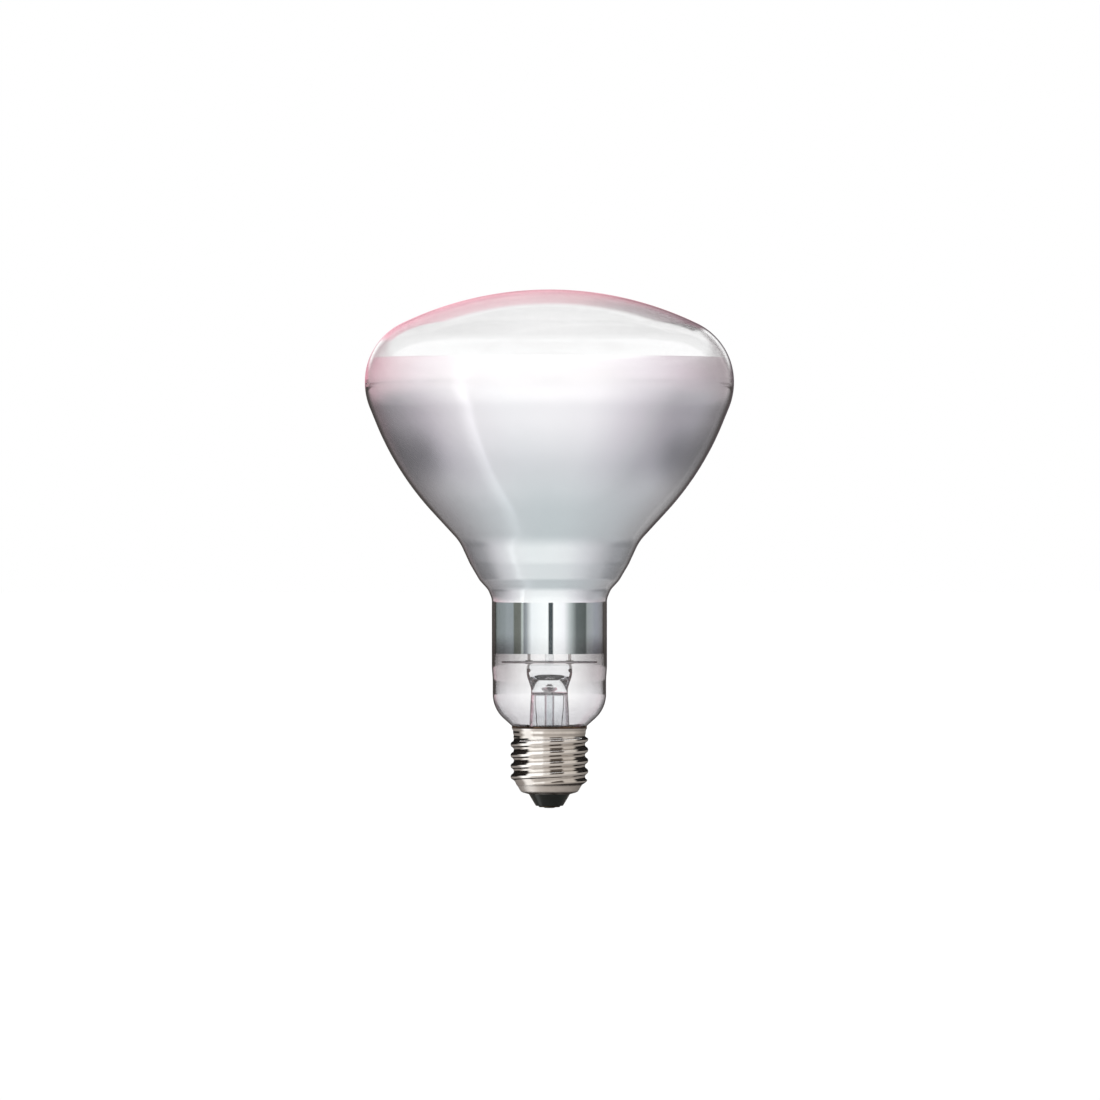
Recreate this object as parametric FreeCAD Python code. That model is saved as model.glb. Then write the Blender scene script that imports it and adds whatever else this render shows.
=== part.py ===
import FreeCAD, Part

import math
import os

# Reflector heat lamp: a blown glass bulb with a bright inner coating, a glass stem that
# carries the filament, and a screw cap. All lengths are in millimetres, all angles in degrees.
# The lamp's axis is Z. Z = 0 is the tip of its centre contact, and +Z points to the glass front.
# The stem's press is wide along X. A rise is a height over the screw shell's lip.

Vector = FreeCAD.Vector
UP = Vector(0, 0, 1)
ORIGIN = Vector(0, 0, 0)
FULL_TURN = 360.0

# Screw shell: a rolled Edison screw of 27 mm, 7 threads to the inch
thread_major_diameter = 26.3
thread_minor_diameter = 24.1
thread_pitch = 3.629
thread_lowest_crest_z = 8.8
thread_runout_bottom_z = 7.2
thread_full_bottom_z = 9.6
thread_full_top_z = 23.6
thread_runout_top_z = 25.6
shell_wall = 0.3
shell_height = 27.0
lip_diameter = 25.5
lip_length = 0.8
lip_bend_radius = 0.8
collar_diameter = 24.6
collar_length = 0.8
collar_step_length = 1.0
shell_cone_top_z = 9.6
shell_knuckle_diameter = 19.2
shell_knuckle_z = 5.4
shell_knuckle_radius = 2.0
shell_mouth_diameter = 14.0
shell_mouth_z = 4.7
turn_steps = 48
profile_step = 0.3
patch_turn_steps = 6
patch_profile_steps = 8

# Cap insulator, contact plate and solder
insulator_tip_diameter = 9.2
insulator_tip_z = 0.75
insulator_floor_z = 7.4
insulator_bore_diameter = 3.4
plate_diameter = 7.2
plate_bottom_z = 0.3
plate_thickness = 0.7
plate_edge_radius = 0.25
plate_hole_diameter = 1.5
solder_diameter = 4.6
solder_flat_diameter = 3.0
rim_solder_diameter = 2.6
rim_solder_drop = 0.5
fit_gap = 0.02

# Bulb
overall_length = 175.5
bulb_diameter = 125.0
glass_wall = 1.0
dome_radius = 115.0
shoulder_radius = 22.0
underside_drop = 4.6
underside_reach = 0.96
neck_diameter = 39.0
lower_neck_diameter = 38.4
neck_in_cap = 10.0
cement_gap = 0.55
neck_at_lip_diameter = 23.6
mouth_bend_radius = 1.5
heel_slope = 42.0
heel_radius = 11.0
neck_step_rise = 16.9
neck_step_length = 3.6
neck_step_radius = 30.0
neck_top_rise = 44.5
neck_top_radius = 12.0
bulge_foot_flare = 2.3
bulge_foot_rise = 48.2
bulge_foot_radius = 1.5
bulge_brow_flare = 5.5
bulge_brow_rise = 51.2
bulge_brow_radius = 17.0
reflector_foot_flare = 10.9
reflector_foot_rise = 63.2
reflector_foot_radius = 11.5
reflector_knee_inset = 10.7
reflector_knee_share = 0.47
reflector_knee_reach = 0.64

# Bright coating on the inside of the bulb
coating_thickness = 0.1
coating_bottom_rise = 25.3
coating_rim_drop = 23.5

# Stem: flare tube, press and exhaust tube
stem_wall = 0.9
flare_throat_diameter = 14.6
flare_bend_radius = 3.0
stem_top_diameter = 12.4
press_bottom_rise = 13.0
press_shaped_rise = 19.0
press_top_rise = 21.5
press_width = 15.4
press_thickness = 5.2
press_squareness = 3.5
press_depth_in_roof = 0.5
outline_points = 32
exhaust_tube_diameter = 3.3
exhaust_bore_diameter = 2.0
exhaust_tip_z = 9.6
exhaust_tip_length = 2.2
exhaust_bore_in_press = 2.4
exhaust_port_diameter = 2.2
exhaust_port_height = 1.2

# Lead-in wires: outer copper, a short seal in the press, and the stiff inner lead
outer_lead_diameter = 0.3
seal_wire_diameter = 0.7
inner_lead_diameter = 1.0
seal_foot_spacing = 9.8
seal_foot_drop = 1.6
lead_spacing = 13.8
weld_depth_in_press = 1.9
seal_bend_radius = 1.0
outer_lead_straight = 3.0
outer_lead_bend_radius = 1.0
centre_lead_turn_z = 11.0
centre_lead_turn_offset = 2.6
centre_lead_drop_z = 7.6
side_lead_turn_offset = 2.9
side_lead_under_flare = 2.7
side_lead_neck_bend_radius = 1.2
side_lead_lip_bend_radius = 0.3
side_lead_overhang = 0.5
inner_lead_bend_radius = 5.0
inner_lead_straight = 11.0
inner_lead_end_straight = 9.0
inner_lead_overrun = 1.2

# Heat deflector on the inner leads
deflector_diameter = 32.4
deflector_thickness = 0.5
deflector_gap = 0.65
deflector_rod_hole = 3.6
eyelet_barrel_diameter = 1.6
eyelet_flange_diameter = 2.6
eyelet_flange_thickness = 0.35

# Filament, its hooks, and the glass rod that holds them
filament_over_press = 43.5
filament_ring_diameter = 28.0
filament_coil_diameter = 1.6
filament_end_gap = 0.4
filament_gap_angle = 60.0
hook_count = 5
hook_wire_diameter = 0.5
hook_clearance = 0.05
hook_depth_in_button = 1.6
hook_loop_angle = 270.0
rod_diameter = 3.0
button_diameter = 6.8
button_height = 4.0
button_edge_radius = 1.4
button_under_filament = 4.0

# Worked out from the sizes above
thread_crest_radius = thread_major_diameter / 2
thread_root_radius = thread_minor_diameter / 2
thread_depth = thread_crest_radius - thread_root_radius
knuckle_radius = ((thread_pitch / 2) ** 2 + thread_depth**2) / (4 * thread_depth)
shell_bore_radius = thread_root_radius - shell_wall

bulb_radius = bulb_diameter / 2
neck_radius = neck_diameter / 2
lower_neck_radius = lower_neck_diameter / 2
neck_end_radius = shell_bore_radius - cement_gap
neck_end_z = shell_height - neck_in_cap
neck_at_lip_radius = neck_at_lip_diameter / 2
heel_rise_per_flare = math.tan(math.radians(heel_slope))
dome_centre_z = overall_length - dome_radius
shoulder_centre_r = bulb_radius - shoulder_radius
shoulder_centre_z = dome_centre_z + math.sqrt((dome_radius - shoulder_radius) ** 2 - shoulder_centre_r**2)

press_bottom_z = shell_height + press_bottom_rise
press_shaped_z = shell_height + press_shaped_rise
press_top_z = shell_height + press_top_rise
stem_roof_z = press_bottom_z - stem_wall
seal_foot_z = press_bottom_z - seal_foot_drop
weld_z = press_top_z - weld_depth_in_press
lead_x = lead_spacing / 2
deflector_z = press_top_z + deflector_gap
deflector_top_z = deflector_z + deflector_thickness
filament_z = press_top_z + filament_over_press
filament_ring_radius = filament_ring_diameter / 2
coil_radius = filament_coil_diameter / 2
button_top_z = filament_z - button_under_filament


def unit(vector):
    """A vector's direction, one long."""
    return vector * (1 / vector.Length)


def at(radius, height, angle=0.0):
    """The point at a distance from the axis, a height, and an angle about the axis from +X."""
    turn = math.radians(angle)
    return Vector(radius * math.cos(turn), radius * math.sin(turn), height)


def rounded_path(corners):
    """Edges through (point, radius) corners: straight runs joined by tangent arcs."""
    edges = []
    start = corners[0][0]
    for (before, _), (corner, radius), (after, _) in zip(corners, corners[1:], corners[2:]):
        back = unit(before - corner)
        onward = unit(after - corner)
        half_turn = (math.pi - back.getAngle(onward)) / 2
        setback = radius * math.tan(half_turn)
        if setback > 0:
            middle = corner + unit(back + onward) * (radius / math.cos(half_turn) - radius)
            edges.append(Part.LineSegment(start, corner + back * setback).toShape())
            arc = Part.Arc(corner + back * setback, middle, corner + onward * setback)
            edges.append(arc.toShape())
        else:
            edges.append(Part.LineSegment(start, corner).toShape())
        start = corner + onward * setback
    edges.append(Part.LineSegment(start, corners[-1][0]).toShape())
    return edges


def inset(corners, depth):
    """The same outline in the XZ plane, moved to the left of its own direction by depth."""
    directions = [unit(b[0] - a[0]) for a, b in zip(corners, corners[1:])]
    normals = [Vector(-d.z, 0, d.x) for d in directions]
    moved = [(corners[0][0] + normals[0] * depth, 0.0)]
    for k in range(1, len(corners) - 1):
        point, radius = corners[k]
        before, after = directions[k - 1], directions[k]
        mitre = (normals[k - 1] + normals[k]) * (depth / (1 + normals[k - 1].dot(normals[k])))
        turns_left = before.x * after.z - before.z * after.x > 0
        new_radius = radius - depth if turns_left else radius + depth
        moved.append((point + mitre, new_radius if radius > 0 else 0.0))
    moved.append((corners[-1][0] + normals[-1] * depth, 0.0))
    return moved


def bend_radius(before, corner, after, setback):
    """The radius of a corner's arc that starts and ends a setback away from the corner."""
    half_turn = (math.pi - (before - corner).getAngle(after - corner)) / 2
    return setback / math.tan(half_turn)


def straight(*points):
    """Straight edges from point to point."""
    return [Part.LineSegment(a, b).toShape() for a, b in zip(points, points[1:])]


def ends(edges):
    """The first and the last point of a run of edges."""
    first = edges[0]
    last = edges[-1]
    return first.valueAt(first.FirstParameter), last.valueAt(last.LastParameter)


def revolved(edges):
    """The solid that a closed outline in the XZ plane sweeps about the lamp's axis."""
    face = Part.Face(Part.Wire(Part.sortEdges(edges)[0]))
    return face.revolve(ORIGIN, UP, FULL_TURN)


def turned_part(*points):
    """The solid of revolution inside a straight-sided outline."""
    return revolved(straight(*points, points[0]))


def round_bar(edges, diameter):
    """A round wire that follows a path of tangent edges."""
    start, _ = ends(edges)
    heading = edges[0].tangentAt(edges[0].FirstParameter)
    section = Part.Wire(Part.Circle(start, heading, diameter / 2).toShape())
    return Part.Wire(edges).makePipeShell([section], True, True)


def cylinder(diameter, bottom_z, top_z, x=0.0):
    """An upright round bar."""
    return Part.makeCylinder(diameter / 2, top_z - bottom_z, Vector(x, 0, bottom_z), UP)


# Screw shell

def shell_corners():
    """The shell's outer outline from its mouth up to its lip, with the thread left out."""
    collar_top_z = shell_height - lip_length
    collar_foot_z = collar_top_z - collar_length
    return [
        (at(shell_mouth_diameter / 2, shell_mouth_z), 0.0),
        (at(shell_knuckle_diameter / 2, shell_knuckle_z), shell_knuckle_radius),
        (at(thread_root_radius, shell_cone_top_z), shell_knuckle_radius),
        (at(thread_root_radius, collar_foot_z - collar_step_length), lip_bend_radius),
        (at(collar_diameter / 2, collar_foot_z), lip_bend_radius),
        (at(collar_diameter / 2, collar_top_z), lip_bend_radius),
        (at(lip_diameter / 2, shell_height), 0.0),
    ]


def under_shell_skin(depth):
    """The shell's outline at a depth under its outer skin, cut off level with the lip."""
    corners = inset(shell_corners(), depth)
    lip = corners[-1][0]
    heading = unit(lip - corners[-2][0])
    corners[-1] = (lip - heading * ((lip.z - shell_height) / heading.z), 0.0)
    return corners


def smooth_step(value, low, high):
    """0 below low, 1 above high, and an even ease between them."""
    share = min(max((value - low) / (high - low), 0.0), 1.0)
    return share * share * (3 - 2 * share)


def thread_height(angle, z):
    """How far the right-hand thread stands out of its root: two tangent arcs to a pitch."""
    rise = z - thread_lowest_crest_z - thread_pitch * angle / FULL_TURN
    from_crest = abs(rise - thread_pitch * round(rise / thread_pitch))
    if from_crest < thread_pitch / 4:
        height = thread_depth - knuckle_radius + math.sqrt(knuckle_radius**2 - from_crest**2)
    else:
        from_root = thread_pitch / 2 - from_crest
        height = knuckle_radius - math.sqrt(knuckle_radius**2 - from_root**2)
    fade_in = smooth_step(z, thread_runout_bottom_z, thread_full_bottom_z)
    fade_out = 1 - smooth_step(z, thread_full_top_z, thread_runout_top_z)
    return height * fade_in * fade_out


def shell_wall_surface(depth):
    """The threaded wall, at a depth under its outer skin: a cubic surface closed about the axis."""
    skin = Part.Wire(rounded_path(shell_corners()))
    wall = Part.Wire(rounded_path(under_shell_skin(depth)))
    count = math.ceil(skin.Length / profile_step)
    angles = [FULL_TURN * k / turn_steps for k in range(turn_steps)]
    pull_in = (2 + math.cos(math.radians(FULL_TURN / turn_steps))) / 3
    poles = []
    for outer, inner in zip(skin.discretize(Number=count), wall.discretize(Number=count)):
        poles.append([at((inner.x + thread_height(a, outer.z)) / pull_in, inner.z, a) for a in angles])
    end_knots = [4] + [1] * (count - 4) + [4]
    turn_knots = [1] * (turn_steps + 1)
    surface = Part.BSplineSurface()
    surface.buildFromPolesMultsKnots(
        poles, end_knots, turn_knots, range(count - 2), range(turn_steps + 1), False, True, 3, 3
    )
    return surface


def patch_starts(count, steps):
    """Where patches of so many steps start, and where the last one ends."""
    return list(range(0, count - steps // 2, steps)) + [count]


def rim_edge(wall, end, around):
    """Part of a wall's lower or upper edge."""
    rim = wall.uIso(end)
    rim.segment(*around)
    return rim.toShape()


def build_screw_shell():
    """The rolled shell: its outer and inner walls in small patches, a cone at its mouth and a flat lip."""
    walls = [shell_wall_surface(0.0), shell_wall_surface(shell_wall)]
    profile_ends = patch_starts(walls[0].NbUPoles - 3, patch_profile_steps)
    turn_ends = patch_starts(turn_steps, patch_turn_steps)
    faces = []
    lip_edges = [[], []]
    for around in zip(turn_ends, turn_ends[1:]):
        for along in zip(profile_ends, profile_ends[1:]):
            for wall in walls:
                patch = wall.copy()
                patch.segment(*along, *around)
                faces.append(patch.toShape())
        mouth_edges = [rim_edge(wall, profile_ends[0], around) for wall in walls]
        faces.append(Part.makeRuledSurface(*mouth_edges))
        for edges, wall in zip(lip_edges, walls):
            edges.append(rim_edge(wall, profile_ends[-1], around))
    lip_wires = [Part.Wire(edges) for edges in lip_edges]
    faces.append(Part.makeFace(lip_wires, "Part::FaceMakerBullseye"))
    skin = Part.makeShell(faces)
    skin.sewShape()
    solid = Part.makeSolid(skin)
    if solid.Volume < 0:
        solid.reverse()
    return solid


# Cap insulator, contact plate and centre solder

def build_cap_insulator():
    """Black glass pressed into the shell's mouth, with a seat for the contact plate."""
    floor = Part.Plane(Vector(0, 0, insulator_floor_z), UP)
    seat = rounded_path(under_shell_skin(shell_wall + fit_gap)[:4])
    wall = []
    for edge in seat:
        low, high = ends([edge])
        if high.z < insulator_floor_z:
            wall.append(edge)
            continue
        cut = edge.Curve.intersect(floor)[0][0]
        stop = edge.Curve.parameter(Vector(cut.X, cut.Y, cut.Z))
        wall.append(edge.Curve.toShape(edge.FirstParameter, stop))
        break
    wall_foot, wall_top = ends(wall)
    plate_radius = plate_diameter / 2
    plate_top_z = plate_bottom_z + plate_thickness
    bore_radius = insulator_bore_diameter / 2
    outline = straight(
        wall_top,
        at(bore_radius, insulator_floor_z),
        at(bore_radius, plate_top_z),
        at(plate_radius, plate_top_z),
        at(plate_radius, insulator_tip_z),
        at(insulator_tip_diameter / 2, insulator_tip_z),
        at(shell_mouth_diameter / 2 - fit_gap, shell_mouth_z),
        wall_foot,
    )
    return revolved(outline + wall)


def build_contact_plate():
    """A round brass plate with a hole for the lead wire."""
    top_z = plate_bottom_z + plate_thickness
    hole_radius = plate_hole_diameter / 2
    outline = rounded_path([
        (at(hole_radius, plate_bottom_z), 0.0),
        (at(plate_diameter / 2, plate_bottom_z), plate_edge_radius),
        (at(plate_diameter / 2, top_z), 0.0),
        (at(hole_radius, top_z), 0.0),
        (at(hole_radius, plate_bottom_z), 0.0),
    ])
    return revolved(outline)


def build_centre_solder(lead):
    """A solder tip under the plate, with a plug in its hole that grips the lead."""
    plug_radius = plate_hole_diameter / 2
    plug_top_z = plate_bottom_z + plate_thickness
    tip = turned_part(
        ORIGIN,
        at(solder_flat_diameter / 2, 0),
        at(solder_diameter / 2, plate_bottom_z),
        at(plug_radius, plate_bottom_z),
        at(plug_radius, plug_top_z),
        at(0, plug_top_z),
    )
    return tip.cut(lead)


# Glass bulb and its bright coating

def bulb_corners():
    """The bulb's outer outline from the end of its neck up to where the shoulder starts."""
    step_foot_z = shell_height + neck_step_rise
    mouth_drop = (neck_at_lip_radius - neck_end_radius) * heel_rise_per_flare
    heel_corner_rise = (lower_neck_radius - neck_at_lip_radius) * heel_rise_per_flare
    foot = at(neck_radius + reflector_foot_flare, shell_height + reflector_foot_rise)
    widest = at(bulb_radius, shoulder_centre_z)
    brim = at(bulb_radius, shoulder_centre_z - underside_drop)
    knee = at(bulb_radius - reflector_knee_inset, foot.z + (brim.z - foot.z) * reflector_knee_share)
    knee_setback = (brim - knee).Length * reflector_knee_reach
    return [
        (at(neck_end_radius, neck_end_z), 0.0),
        (at(neck_end_radius, shell_height - mouth_drop), mouth_bend_radius),
        (at(lower_neck_radius, shell_height + heel_corner_rise), heel_radius),
        (at(lower_neck_radius, step_foot_z), neck_step_radius),
        (at(neck_radius, step_foot_z + neck_step_length), neck_step_radius),
        (at(neck_radius, shell_height + neck_top_rise), neck_top_radius),
        (at(neck_radius + bulge_foot_flare, shell_height + bulge_foot_rise), bulge_foot_radius),
        (at(neck_radius + bulge_brow_flare, shell_height + bulge_brow_rise), bulge_brow_radius),
        (foot, reflector_foot_radius),
        (knee, bend_radius(foot, knee, brim, knee_setback)),
        (brim, bend_radius(knee, brim, widest, underside_drop * underside_reach)),
        (widest, 0.0),
    ]


def bulb_outline(depth):
    """The whole outline at a depth in the glass: neck and reflector, shoulder arc, dome arc."""
    side = rounded_path(inset(bulb_corners(), depth))
    centre = at(shoulder_centre_r, shoulder_centre_z)
    lean = math.atan2(shoulder_centre_r, shoulder_centre_z - dome_centre_z)
    across = (math.pi / 2 + lean) / 2
    radius = shoulder_radius - depth
    reach = dome_radius - depth
    middle = centre + Vector(math.sin(across), 0, math.cos(across)) * radius
    join = centre + Vector(math.sin(lean), 0, math.cos(lean)) * radius
    dome_middle = at(reach * math.sin(lean / 2), dome_centre_z + reach * math.cos(lean / 2))
    apex = at(0, dome_centre_z + reach)
    shoulder = Part.Arc(ends(side)[1], middle, join).toShape()
    dome = Part.Arc(join, dome_middle, apex).toShape()
    return side + [shoulder, dome]


def glass_layer(outer_depth, inner_depth):
    """The solid between two depths in the bulb's wall."""
    outer = bulb_outline(outer_depth)
    inner = bulb_outline(inner_depth)
    rims = straight(ends(outer)[0], ends(inner)[0]) + straight(ends(outer)[1], ends(inner)[1])
    return revolved(outer + inner + rims)


def build_mirror_coating():
    """The coated part of the inner wall, from the neck up to just over the widest place."""
    bottom_z = shell_height + coating_bottom_rise
    coated_length = overall_length - coating_rim_drop - bottom_z
    film = glass_layer(glass_wall, glass_wall + coating_thickness)
    return film.common(Part.makeCylinder(bulb_diameter, coated_length, Vector(0, 0, bottom_z), UP))


# Stem

def press_section(z, width, thickness, squareness):
    """A closed smooth outline across the stem, from round to nearly rectangular."""
    points = []
    for k in range(outline_points):
        turn = math.radians(FULL_TURN * k / outline_points)
        across = math.copysign(abs(math.cos(turn)) ** (2 / squareness), math.cos(turn))
        deep = math.copysign(abs(math.sin(turn)) ** (2 / squareness), math.sin(turn))
        points.append(Vector(width / 2 * across, thickness / 2 * deep, z))
    curve = Part.BSplineCurve()
    curve.interpolate(Points=points, PeriodicFlag=True)
    return Part.Wire(curve.toShape())


def build_stem_flare(wires):
    """The flare tube and the flat press on it, sealed round the wires and bored for exhaust."""
    top_radius = stem_top_diameter / 2
    outer = [
        (at(neck_end_radius, neck_end_z), 0.0),
        (at(flare_throat_diameter / 2, neck_end_z), flare_bend_radius),
        (at(top_radius, press_bottom_z), 0.0),
    ]
    skin = rounded_path(outer)
    bore = rounded_path([
        (at(neck_end_radius, neck_end_z - stem_wall), 0.0),
        (at(flare_throat_diameter / 2 - stem_wall, neck_end_z - stem_wall), flare_bend_radius + stem_wall),
        (at(top_radius - stem_wall, stem_roof_z), 0.0),
    ])
    mouth = straight(ends(skin)[0], ends(bore)[0])
    roof = straight(ends(skin)[1], at(0, press_bottom_z), at(0, stem_roof_z), ends(bore)[1])
    tube = revolved(skin + bore + mouth + roof)
    half_way_z = (press_bottom_z + press_shaped_z) / 2
    mid_width = (stem_top_diameter + press_width) / 2
    mid_thickness = (stem_top_diameter + press_thickness) / 2
    mid_squareness = (2 + press_squareness) / 2
    press = Part.makeLoft([
        press_section(press_bottom_z - press_depth_in_roof, stem_top_diameter, stem_top_diameter, 2),
        press_section(half_way_z, mid_width, mid_thickness, mid_squareness),
        press_section(press_shaped_z, press_width, press_thickness, press_squareness),
        press_section(press_top_z, press_width, press_thickness, press_squareness),
    ], True, True)
    stem = tube.fuse(press)
    bore_top_z = press_bottom_z + exhaust_bore_in_press
    stem = stem.cut(cylinder(exhaust_bore_diameter, stem_roof_z, bore_top_z))
    port_start = Vector(0, 0, press_bottom_z + exhaust_port_height)
    port = Part.makeCylinder(exhaust_port_diameter / 2, stem_top_diameter, port_start, Vector(0, -1, 0))
    stem = stem.cut(port)
    for wire in wires:
        stem = stem.cut(wire)
    return stem


def build_exhaust_tube():
    """A thin tube under the press, drawn to a closed tip inside the cap."""
    radius = exhaust_tube_diameter / 2
    bore_radius = exhaust_bore_diameter / 2
    shoulder_z = exhaust_tip_z + exhaust_tip_length
    return turned_part(
        at(0, exhaust_tip_z),
        at(radius, shoulder_z),
        at(radius, stem_roof_z),
        at(bore_radius, stem_roof_z),
        at(bore_radius, shoulder_z + bore_radius),
        at(0, shoulder_z),
    )


# Lead-in wires: side is -1 for the left lead, which feeds the centre contact, and 1 for the right

def build_seal_wire(side):
    """The short wire that passes through the press, with its ends upright."""
    low_x = side * seal_foot_spacing / 2
    top_x = side * lead_x
    path = rounded_path([
        (Vector(low_x, 0, seal_foot_z), 0.0),
        (Vector(low_x, 0, seal_foot_z + seal_bend_radius), seal_bend_radius),
        (Vector(top_x, 0, weld_z - seal_bend_radius), seal_bend_radius),
        (Vector(top_x, 0, weld_z), 0.0),
    ])
    return round_bar(path, seal_wire_diameter)


def filament_end(side):
    """Where the filament's end meets its lead, on the ring's centre line at the front."""
    half_gap = filament_gap_angle / 2
    return at(filament_ring_radius, filament_z, -90 + side * half_gap)


def build_inner_lead(side):
    """The stiff wire from the press up to the filament's end."""
    end = filament_end(side)
    path = rounded_path([
        (Vector(side * lead_x, 0, weld_z), 0.0),
        (Vector(side * lead_x, 0, press_top_z + inner_lead_straight), inner_lead_bend_radius),
        (Vector(end.x, end.y, filament_z - inner_lead_end_straight), inner_lead_bend_radius),
        (Vector(end.x, end.y, filament_z + inner_lead_overrun), 0.0),
    ])
    return round_bar(path, inner_lead_diameter)


def outer_lead_start(side):
    """The first two corners of an outer lead, straight down from the seal wire's foot."""
    x = side * seal_foot_spacing / 2
    return [
        (Vector(x, 0, seal_foot_z), 0.0),
        (Vector(x, 0, seal_foot_z - outer_lead_straight), outer_lead_bend_radius),
    ]


def build_outer_lead_centre():
    """From the left seal wire down under the exhaust tip and into the contact plate's hole."""
    path = rounded_path(outer_lead_start(-1) + [
        (Vector(-centre_lead_turn_offset, 0, centre_lead_turn_z), outer_lead_bend_radius),
        (Vector(0, 0, centre_lead_drop_z), outer_lead_bend_radius),
        (Vector(0, 0, plate_bottom_z), 0.0),
    ])
    return round_bar(path, outer_lead_diameter)


def build_outer_lead_side():
    """From the right seal wire under the flare, up beside the neck, and out over the shell's lip."""
    low_z = neck_end_z - side_lead_under_flare
    gap_y = neck_end_radius + cement_gap / 2
    lip = under_shell_skin(shell_wall)[-1][0]
    lip_slope_gap = (lip.x - neck_at_lip_radius) - (lip.z - shell_height) / heel_rise_per_flare
    over_lip_z = lip.z + outer_lead_diameter / 2 + 2 * fit_gap
    slope_start = neck_at_lip_radius + lip_slope_gap / 2
    slope_foot_z = shell_height + (gap_y - slope_start) * heel_rise_per_flare
    over_lip_y = slope_start + (over_lip_z - shell_height) / heel_rise_per_flare
    path = rounded_path(outer_lead_start(1) + [
        (Vector(side_lead_turn_offset, side_lead_turn_offset / 2, low_z), outer_lead_bend_radius),
        (Vector(0, gap_y, low_z), outer_lead_bend_radius),
        (Vector(0, gap_y, slope_foot_z), side_lead_neck_bend_radius),
        (Vector(0, over_lip_y, over_lip_z), side_lead_lip_bend_radius),
        (Vector(0, lip_diameter / 2 + side_lead_overhang, over_lip_z), 0.0),
    ])
    return round_bar(path, outer_lead_diameter)


# Cement in the cap, and the solder on its rim

def build_basing_cement(lead):
    """The ring of baked cement between the neck and the shell, with a bead over the lip."""
    shell_inner = under_shell_skin(shell_wall + fit_gap)
    shell_side = [(at(shell_inner[2][0].x, neck_end_z + 1), 0.0)] + shell_inner[3:]
    neck = bulb_corners()
    bead_r = lip_diameter / 2
    bead_z = shell_height + (bead_r - neck_at_lip_radius) * heel_rise_per_flare
    neck_side = [(at(neck_end_radius, neck_end_z + 1), 0.0), neck[1], (at(bead_r, bead_z), 0.0)]
    outer = rounded_path(shell_side)
    inner = rounded_path(neck_side)
    foot = straight(ends(outer)[0], ends(inner)[0])
    bead = straight(ends(outer)[1], ends(inner)[1])
    return revolved(outer + inner + foot + bead).cut(lead)


def build_side_solder(neighbours):
    """A drop of solder at the back that joins the side lead to the shell's lip."""
    lip_radius = lip_diameter / 2
    centre = Vector(0, lip_radius, shell_height - rim_solder_drop)
    drop = Part.makeSphere(rim_solder_diameter / 2, centre)
    drop = drop.cut(cylinder(2 * lip_radius - fit_gap, 0, overall_length))
    for neighbour in neighbours:
        drop = drop.cut(neighbour)
    return max(drop.Solids, key=lambda solid: solid.Volume)


# Heat deflector and its eyelets

def build_heat_deflector():
    """A thin round plate over the press, holed for the glass rod and the two eyelets."""
    plate = cylinder(deflector_diameter, deflector_z, deflector_top_z)
    plate = plate.cut(cylinder(deflector_rod_hole, deflector_z, deflector_top_z))
    for side in (-1, 1):
        plate = plate.cut(cylinder(eyelet_barrel_diameter, deflector_z, deflector_top_z, side * lead_x))
    return plate


def build_deflector_eyelet(side):
    """A flanged tube pressed on the inner lead, which holds the deflector from both sides."""
    x = side * lead_x
    low_z = deflector_z - eyelet_flange_thickness
    high_z = deflector_top_z + eyelet_flange_thickness
    eyelet = cylinder(eyelet_barrel_diameter, low_z, high_z, x)
    eyelet = eyelet.fuse(cylinder(eyelet_flange_diameter, low_z, deflector_z, x))
    eyelet = eyelet.fuse(cylinder(eyelet_flange_diameter, deflector_top_z, high_z, x))
    return eyelet.cut(cylinder(inner_lead_diameter, low_z, high_z, x)).removeSplitter()


# Glass rod with its button, the hooks in it, and the filament they carry

def build_support_hook(angle):
    """A wire from the button out to the ring, bent into a loop round the filament."""
    loop_radius = coil_radius + hook_clearance + hook_wire_diameter / 2
    start_r = button_diameter / 2 - hook_depth_in_button
    start_z = button_top_z - button_height / 2
    reach = Vector(filament_ring_radius - start_r, 0, filament_z - start_z)
    slope = math.atan2(reach.z, reach.x) - math.asin(loop_radius / reach.Length)
    sweep = math.radians(hook_loop_angle)

    def on_loop(turn):
        """A point of the loop, turn radians on from where the straight wire meets it."""
        way = slope - math.pi / 2 + turn
        radius = filament_ring_radius + loop_radius * math.cos(way)
        return at(radius, filament_z + loop_radius * math.sin(way), angle)

    stem = Part.LineSegment(at(start_r, start_z, angle), on_loop(0)).toShape()
    loop = Part.Arc(on_loop(0), on_loop(sweep / 2), on_loop(sweep)).toShape()
    return round_bar([stem, loop], hook_wire_diameter)


def build_glass_arbor(hooks):
    """The glass rod on the press, with the button melted round the hooks' inner ends."""
    rod_radius = rod_diameter / 2
    button_radius = button_diameter / 2
    button_foot_z = button_top_z - button_height
    outline = rounded_path([
        (at(0, press_top_z), 0.0),
        (at(rod_radius, press_top_z), 0.0),
        (at(rod_radius, button_foot_z), 0.0),
        (at(button_radius, button_foot_z), button_edge_radius),
        (at(button_radius, button_top_z), button_edge_radius),
        (at(0, button_top_z), 0.0),
        (at(0, press_top_z), 0.0),
    ])
    arbor = revolved(outline)
    for hook in hooks:
        arbor = arbor.cut(hook)
    return arbor


def build_filament(leads):
    """The coil's outer shape: a tube along most of a ring, its ends set on the leads."""
    trim = math.degrees(filament_end_gap / filament_ring_radius)
    start = -90 + filament_gap_angle / 2 + trim
    end = 270 - filament_gap_angle / 2 - trim
    first, middle, last = (at(filament_ring_radius, filament_z, a) for a in (start, 90, end))
    tube = round_bar([Part.Arc(first, middle, last).toShape()], filament_coil_diameter)
    for lead in leads:
        tube = tube.cut(lead)
    return tube


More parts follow.
